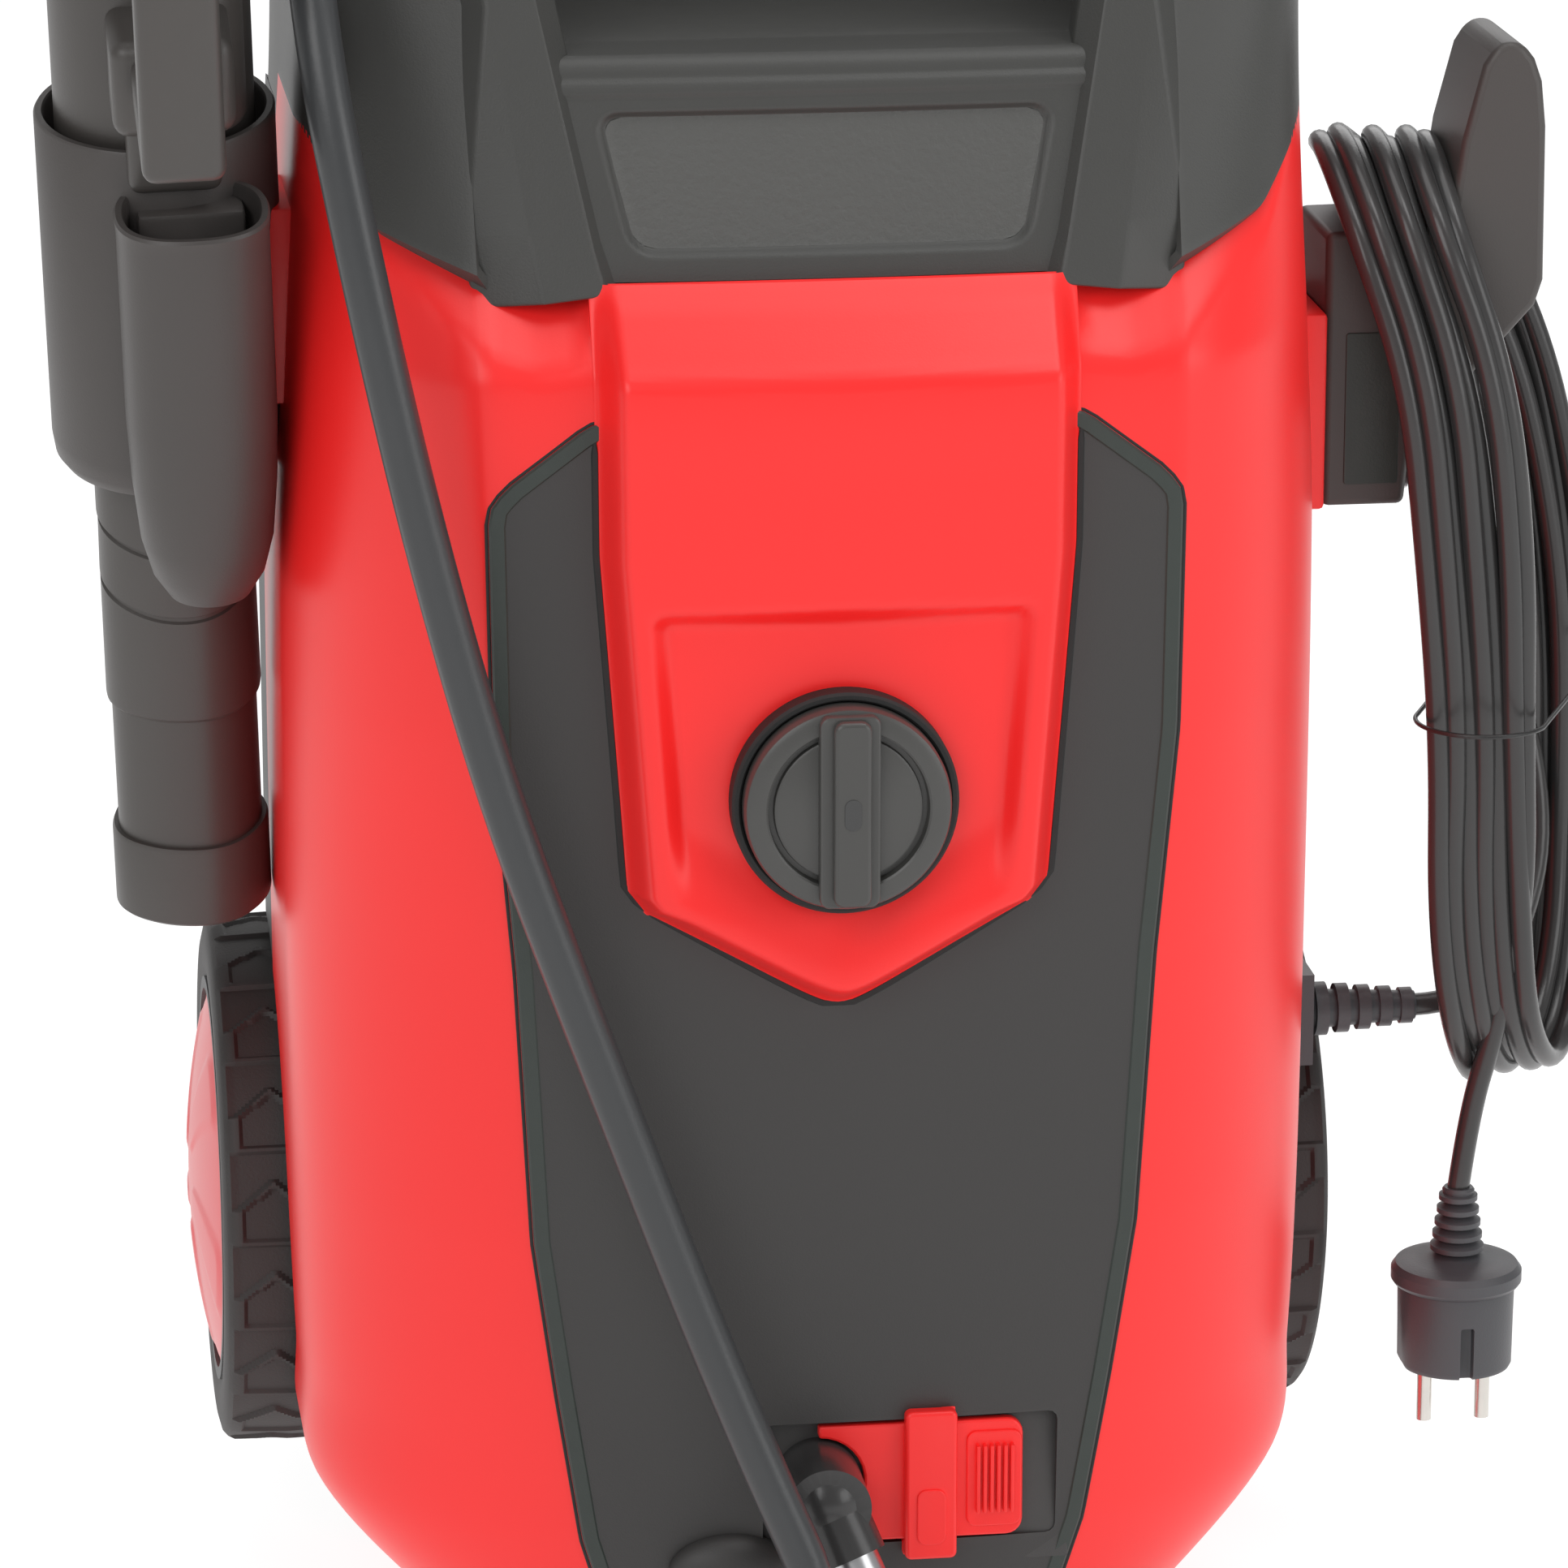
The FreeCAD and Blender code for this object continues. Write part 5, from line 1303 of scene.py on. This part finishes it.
def build_wheels(settings):
    looks = finishes(settings)
    edge = [(0.0660, 0.1380), (0.0790, 0.1380), (0.0830, 0.1390), (0.0846, 0.1404)]
    tread = [(0.0850 - 0.0006 * abs(i - 13) / 13, 0.1412 + 0.0012 * i) for i in range(28)]
    close = [
        (0.0846, 0.1756), (0.0830, 0.1770), (0.0790, 0.1780), (0.0700, 0.1780), (0.0660, 0.1770),
        (0.0660, 0.1380)
    ]
    for name, side, body in (("right", 1, "right_wheel"), ("left", -1, "left_wheel")):
        at, out = (0.0, AXLE_Y, AXLE_Z), (side, 0, 0)
        tyre = turned("tread_" + name, edge + tread + close, at, out, 540, lug)
        finish_piece(tyre, body, "tyre_black", looks["tyre_rubber"], "tyre_" + name)
        basis = axes_of(out)

        def dome(s, t, basis=basis, at=at):
            angle = s * math.tau
            i = round(t * (CAP_RINGS + len(CAP_FOOT)))
            if i < len(CAP_FOOT):
                radius, height = CAP_FOOT[i]
            else:
                radius = 0.0616 * (1.0 - (i - len(CAP_FOOT)) / CAP_RINGS)
                height = 0.1765 + 0.0085 * (1.0 - (radius / 0.062) ** 2)
                swirl = (
                    math.cos(5.0 * angle + 34.0 * radius)
                    * ease((radius - 0.010) / 0.010)
                    * ease((0.058 - radius) / 0.006)
                )
                height += 0.0007 * ease((swirl - 0.1) / 0.4)
                height -= 0.0010 * ease(1.0 - abs(radius - 0.0590) / 0.0012)
            return Vector(at) + basis @ Vector((radius * math.cos(angle), radius * math.sin(angle), height))

        cap = tidy(sheet("cap_" + name, 150, CAP_RINGS + len(CAP_FOOT), dome), 36.0, SEAM_MERGE)
        finish_piece(cap, body, "cap_red", looks["cap_red"], "hub_cap_" + name)


# ---------------------------------------------------------------- hook, plug, tie and handle


def build_hook(settings):
    looks = finishes(settings)
    outline = [
        (0.166, 0.360), (0.192, 0.360), (0.1935, 0.376), (0.2050, 0.392), (0.232, 0.422), (0.2345, 0.430),
        (0.2340, 0.478),
        (0.2325, 0.492), (0.2300, 0.499), (0.2265, 0.5035), (0.2220, 0.505), (0.2175, 0.503),
        (0.2140, 0.4975), (0.2080, 0.474),
        (0.2055, 0.456), (0.2020, 0.4500), (0.1940, 0.4470), (0.166, 0.4465),
    ]
    hook = slab("hook_body", outline, 0.046, "XZ", -0.034, 0.0035, 4)
    frame_line = slab(
        "hook_frame", rounded_box((0.1725, 0.367), (0.1895, 0.415), 0.001), -0.0008, "XZ", -0.0336, 0.0003
    )
    finish_piece(hook, "housing", "shell_black", looks["holder_black"], "cord_hook")
    finish_piece(frame_line, "housing", "shell_black", looks["panel_rim"])


def build_plug(settings):
    looks = finishes(settings)
    x, y = (PLUG_LOW.x + PLUG_HIGH.x) / 2, (PLUG_LOW.y + PLUG_HIGH.y) / 2
    profile = [(0.0, 0.1320), (0.0046, 0.1320), (0.0052, 0.1312)]
    ribs = 5
    for i in range(ribs):
        top, wide = 0.1300 - 0.0042 * i, 0.0062 + 0.0006 * i
        profile += [
            (wide - 0.0012, top), (wide, top - 0.0005), (wide, top - 0.0021), (wide - 0.0012, top - 0.0027),
            (wide - 0.0022, top - 0.0031)
        ]
    profile += [
        (0.0098, 0.1082), (0.0150, 0.1078), (0.0196, 0.1066), (0.0210, 0.1046), (0.0210, 0.1012),
        (0.0202, 0.1000),
        (0.0188, 0.0992), (0.0188, 0.0740), (0.0180, 0.0724), (0.0166, 0.0720), (0.0, 0.0720),
    ]

    def flats(angle, height):
        return -0.0011 * abs(math.cos(angle)) ** 24 if height < 0.0985 else 0.0

    plug = turned("mains_plug", profile, (x, y, 0.0), (0, 0, 1), 96, flats)
    slots = [
        block("plug_slot", (x - 0.0022, y - 0.022, 0.0700), (x + 0.0022, y - 0.0150, 0.0900), bevel=0.0008)
    ]
    finish_piece(carved(plug, *slots), "housing", "cord_black", looks["plug_black"], "plug_body")


def build_tie(settings):
    looks = finishes(settings)
    around, thick, reach = 96, 0.00075, 0.0205
    front, rear = Vector((0.2140, -0.0530, 0.2950)), Vector((0.2570, 0.0330, 0.2990))

    def place(s, t):
        angle, twist = s * math.tau, t * math.tau
        out = Vector((math.cos(angle), math.sin(angle), 0.0))
        run = (rear - front).normalized()
        centre = (rear if out.dot(run) > 0 else front) + out * reach
        if abs(out.dot(run)) < 0.12:
            share = 0.5 + out.dot(run) / 0.24
            centre = front.lerp(rear, share) + out * reach
        return centre + out * thick * math.cos(twist) + Vector((0, 0, thick * math.sin(twist)))

    tie = tidy(sheet("wire_tie", around, 8, place), 60.0, SEAM_MERGE)
    finish_piece(tie, "housing", "cord_black", looks["tie_black"])


def build_handle(settings):
    looks = finishes(settings)
    low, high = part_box("handle_grip")
    grip = block("grip_bar", low, high, bevel=0.009, segments=5)
    finish_piece(grip, "handle", "shell_black", looks["rear_black"], "handle_grip")


# ---------------------------------------------------------------- finishes of the frame's own pieces

SLOT_FINISH = {
    "shell_red": "shell_red", "shell_black": "rear_black", "gun_black": "gun_black",
    "knob_black": "knob_black",
    "foot_rubber": "foot_rubber", "tyre_black": "tyre_rubber", "rim_black": "rim_black", "cap_red": "cap_red",
    "steel": "steel", "tube_aluminium": "aluminium", "brass": "brass", "inner_plastic": "inner_plastic",
    "coupling_black": "cord_gloss", "hose_black": "hose_rubber", "cord_black": "plug_black",
    "pin_steel": "bright_pin",
}


def build_finishes(settings):
    looks = finishes(settings)
    for part in frame["record"]["subparts"]:
        node = NODES[part["node"]]
        node.data.materials.clear()
        node.data.materials.append(looks[SLOT_FINISH[part["material_slot"]]])


# ---------------------------------------------------------------- add-on


class WasherSettings(bpy.types.PropertyGroup):
    azimuth: bpy.props.FloatProperty(
        name="Azimuth", description="Camera's turn round the machine in degrees", default=-7.5
    )
    elevation: bpy.props.FloatProperty(
        name="Elevation", description="Camera's height angle in degrees", default=16.0
    )
    distance: bpy.props.FloatProperty(
        name="Distance", description="Camera's distance", default=2.3, unit="LENGTH"
    )
    view_width: bpy.props.FloatProperty(
        name="View width", description="Width that the view takes in", default=0.495, unit="LENGTH"
    )
    world_light: bpy.props.FloatProperty(
        name="World light", description="Strength of the soft light", default=0.42
    )
    floor_glow: bpy.props.FloatProperty(
        name="Floor glow", description="How bright the floor is by itself", default=0.88
    )
    key_light: bpy.props.FloatProperty(name="Key light", description="Power of the main lamp", default=26.0)
    hose_length: bpy.props.FloatProperty(
        name="Hose length", description="Real length of the pressure hose", default=5.0, unit="LENGTH"
    )
    cord_length: bpy.props.FloatProperty(
        name="Cord length", description="Real length of the power cord", default=5.0, unit="LENGTH"
    )
    shell_red: bpy.props.FloatVectorProperty(
        name="Shell red", description="Colour of the red shell", default=(0.94, 0.017, 0.016),
        subtype="COLOR", min=0.0, max=1.0
    )
    cap_red: bpy.props.FloatVectorProperty(
        name="Cap red", description="Colour of the hub caps", default=(0.80, 0.075, 0.085), subtype="COLOR",
        min=0.0, max=1.0
    )
    panel_black: bpy.props.FloatVectorProperty(
        name="Panel black", description="Colour of the front panel", default=(0.036, 0.034, 0.033),
        subtype="COLOR", min=0.0, max=1.0
    )
    cover_black: bpy.props.FloatVectorProperty(
        name="Cover black", description="Colour of the top cover and its pillars",
        default=(0.046, 0.046, 0.043), subtype="COLOR", min=0.0, max=1.0
    )
    rear_black: bpy.props.FloatVectorProperty(
        name="Rear black", description="Colour of the rear shell", default=(0.040, 0.040, 0.040),
        subtype="COLOR", min=0.0, max=1.0
    )
    holder_black: bpy.props.FloatVectorProperty(
        name="Holder black", description="Colour of the gun's holder", default=(0.060, 0.053, 0.050),
        subtype="COLOR", min=0.0, max=1.0
    )
    gun_black: bpy.props.FloatVectorProperty(
        name="Gun black", description="Colour of the spray gun", default=(0.060, 0.054, 0.050),
        subtype="COLOR", min=0.0, max=1.0
    )
    knob_black: bpy.props.FloatVectorProperty(
        name="Knob black", description="Colour of the switch knob", default=(0.056, 0.055, 0.052),
        subtype="COLOR", min=0.0, max=1.0
    )
    hose_rubber: bpy.props.FloatVectorProperty(
        name="Hose rubber", description="Colour of the pressure hose", default=(0.038, 0.040, 0.042),
        subtype="COLOR", min=0.0, max=1.0
    )
    cord_gloss: bpy.props.FloatVectorProperty(
        name="Cord black", description="Colour of the power cord", default=(0.034, 0.033, 0.033),
        subtype="COLOR", min=0.0, max=1.0
    )
    tyre_rubber: bpy.props.FloatVectorProperty(
        name="Tyre rubber", description="Colour of the tyres", default=(0.030, 0.026, 0.025), subtype="COLOR",
        min=0.0, max=1.0
    )


class WASHER_OT_stage(bpy.types.Operator):
    """Camera, lamps, floor and backdrop"""

    bl_idname = "washer.stage"
    bl_label = "Stage"

    def execute(self, context):
        build_stage(context.scene.washer)
        return {"FINISHED"}


class WASHER_OT_finishes(bpy.types.Operator):
    """Finishes for the frame's own pieces"""

    bl_idname = "washer.finishes"
    bl_label = "Frame finishes"

    def execute(self, context):
        build_finishes(context.scene.washer)
        return {"FINISHED"}


class WASHER_OT_plug(bpy.types.Operator):
    """The plug with its ribbed strain relief"""

    bl_idname = "washer.plug"
    bl_label = "Mains plug"

    def execute(self, context):
        build_plug(context.scene.washer)
        return {"FINISHED"}


class WASHER_OT_hose(bpy.types.Operator):
    """The hose from its coupling over the top to the coil behind"""

    bl_idname = "washer.hose"
    bl_label = "Pressure hose"

    def execute(self, context):
        build_hose(context.scene.washer)
        return {"FINISHED"}


class WASHER_OT_power_cord(bpy.types.Operator):
    """The lead, the turns on the hook and the tail to the plug"""

    bl_idname = "washer.power_cord"
    bl_label = "Power cord"

    def execute(self, context):
        build_power_cord(context.scene.washer)
        return {"FINISHED"}


class WASHER_OT_tie(bpy.types.Operator):
    """The thin tie round the cord"""

    bl_idname = "washer.tie"
    bl_label = "Wire tie"

    def execute(self, context):
        build_tie(context.scene.washer)
        return {"FINISHED"}


class WASHER_OT_red_front(bpy.types.Operator):
    """The red front shell with its pads and wheel arches"""

    bl_idname = "washer.red_front"
    bl_label = "Red shell"

    def execute(self, context):
        build_red_shell(context.scene.washer)
        return {"FINISHED"}


class WASHER_OT_panel(bpy.types.Operator):
    """The black panel with its border, painted gap shade and pocket"""

    bl_idname = "washer.panel"
    bl_label = "Front panel"

    def execute(self, context):
        build_panel(context.scene.washer)
        return {"FINISHED"}


class WASHER_OT_tongue(bpy.types.Operator):
    """The raised red middle that carries the knob"""

    bl_idname = "washer.tongue"
    bl_label = "Tongue"

    def execute(self, context):
        build_tongue(context.scene.washer)
        return {"FINISHED"}


class WASHER_OT_knob(bpy.types.Operator):
    """The knob, its bar and its seat"""

    bl_idname = "washer.knob"
    bl_label = "Switch knob"

    def execute(self, context):
        build_knob(context.scene.washer)
        return {"FINISHED"}


class WASHER_OT_lock(bpy.types.Operator):
    """The sliding red plate and its bridge"""

    bl_idname = "washer.lock"
    bl_label = "Hose lock"

    def execute(self, context):
        build_lock(context.scene.washer)
        return {"FINISHED"}


class WASHER_OT_cover(bpy.types.Operator):
    """The black cover with its deck and sunk grained field"""

    bl_idname = "washer.cover"
    bl_label = "Top cover"

    def execute(self, context):
        build_cover(context.scene.washer)
        return {"FINISHED"}


class WASHER_OT_pillars(bpy.types.Operator):
    """The two leaning pillars of the cover"""

    bl_idname = "washer.pillars"
    bl_label = "Pillars"

    def execute(self, context):
        build_pillars(context.scene.washer)
        return {"FINISHED"}


class WASHER_OT_holder(bpy.types.Operator):
    """The large and small cups"""

    bl_idname = "washer.holder"
    bl_label = "Gun holder"

    def execute(self, context):
        build_holder(context.scene.washer)
        return {"FINISHED"}


class WASHER_OT_gun(bpy.types.Operator):
    """The stored gun and its barrel"""

    bl_idname = "washer.gun"
    bl_label = "Spray gun"

    def execute(self, context):
        build_gun(context.scene.washer)
        return {"FINISHED"}


class WASHER_OT_wheels(bpy.types.Operator):
    """Treads and red caps"""

    bl_idname = "washer.wheels"
    bl_label = "Wheels"

    def execute(self, context):
        build_wheels(context.scene.washer)
        return {"FINISHED"}


class WASHER_OT_hook(bpy.types.Operator):
    """The hook that the power cord hangs on"""

    bl_idname = "washer.hook"
    bl_label = "Cord hook"

    def execute(self, context):
        build_hook(context.scene.washer)
        return {"FINISHED"}


class WASHER_OT_handle(bpy.types.Operator):
    """The pull-out handle's rounded grip"""

    bl_idname = "washer.handle"
    bl_label = "Handle grip"

    def execute(self, context):
        build_handle(context.scene.washer)
        return {"FINISHED"}


OPERATORS = (
    WASHER_OT_stage,
    WASHER_OT_finishes,
    WASHER_OT_plug,
    WASHER_OT_hose,
    WASHER_OT_power_cord,
    WASHER_OT_tie,
    WASHER_OT_red_front,
    WASHER_OT_panel,
    WASHER_OT_tongue,
    WASHER_OT_knob,
    WASHER_OT_lock,
    WASHER_OT_cover,
    WASHER_OT_pillars,
    WASHER_OT_holder,
    WASHER_OT_gun,
    WASHER_OT_wheels,
    WASHER_OT_hook,
    WASHER_OT_handle,
)


class WASHER_PT_panel(bpy.types.Panel):
    bl_idname = "WASHER_PT_panel"
    bl_label = "Pressure washer"
    bl_space_type = "VIEW_3D"
    bl_region_type = "UI"
    bl_category = "Washer"

    def draw(self, context):
        for name in WasherSettings.__annotations__:
            self.layout.prop(context.scene.washer, name)
        for made in OPERATORS:
            self.layout.operator(made.bl_idname)


CLASSES = (WasherSettings, *OPERATORS, WASHER_PT_panel)


def register():
    for made in CLASSES:
        bpy.utils.register_class(made)
    bpy.types.Scene.washer = bpy.props.PointerProperty(type=WasherSettings)


def unregister():
    del bpy.types.Scene.washer
    for made in reversed(CLASSES):
        bpy.utils.unregister_class(made)


def main():
    register()
    bpy.ops.washer.stage()
    bpy.ops.washer.finishes()
    bpy.ops.washer.plug()
    bpy.ops.washer.hose()
    bpy.ops.washer.power_cord()
    bpy.ops.washer.tie()
    bpy.ops.washer.red_front()
    bpy.ops.washer.panel()
    bpy.ops.washer.tongue()
    bpy.ops.washer.knob()
    bpy.ops.washer.lock()
    bpy.ops.washer.cover()
    bpy.ops.washer.pillars()
    bpy.ops.washer.holder()
    bpy.ops.washer.gun()
    bpy.ops.washer.wheels()
    bpy.ops.washer.hook()
    bpy.ops.washer.handle()


if __name__ == "__main__":
    main()
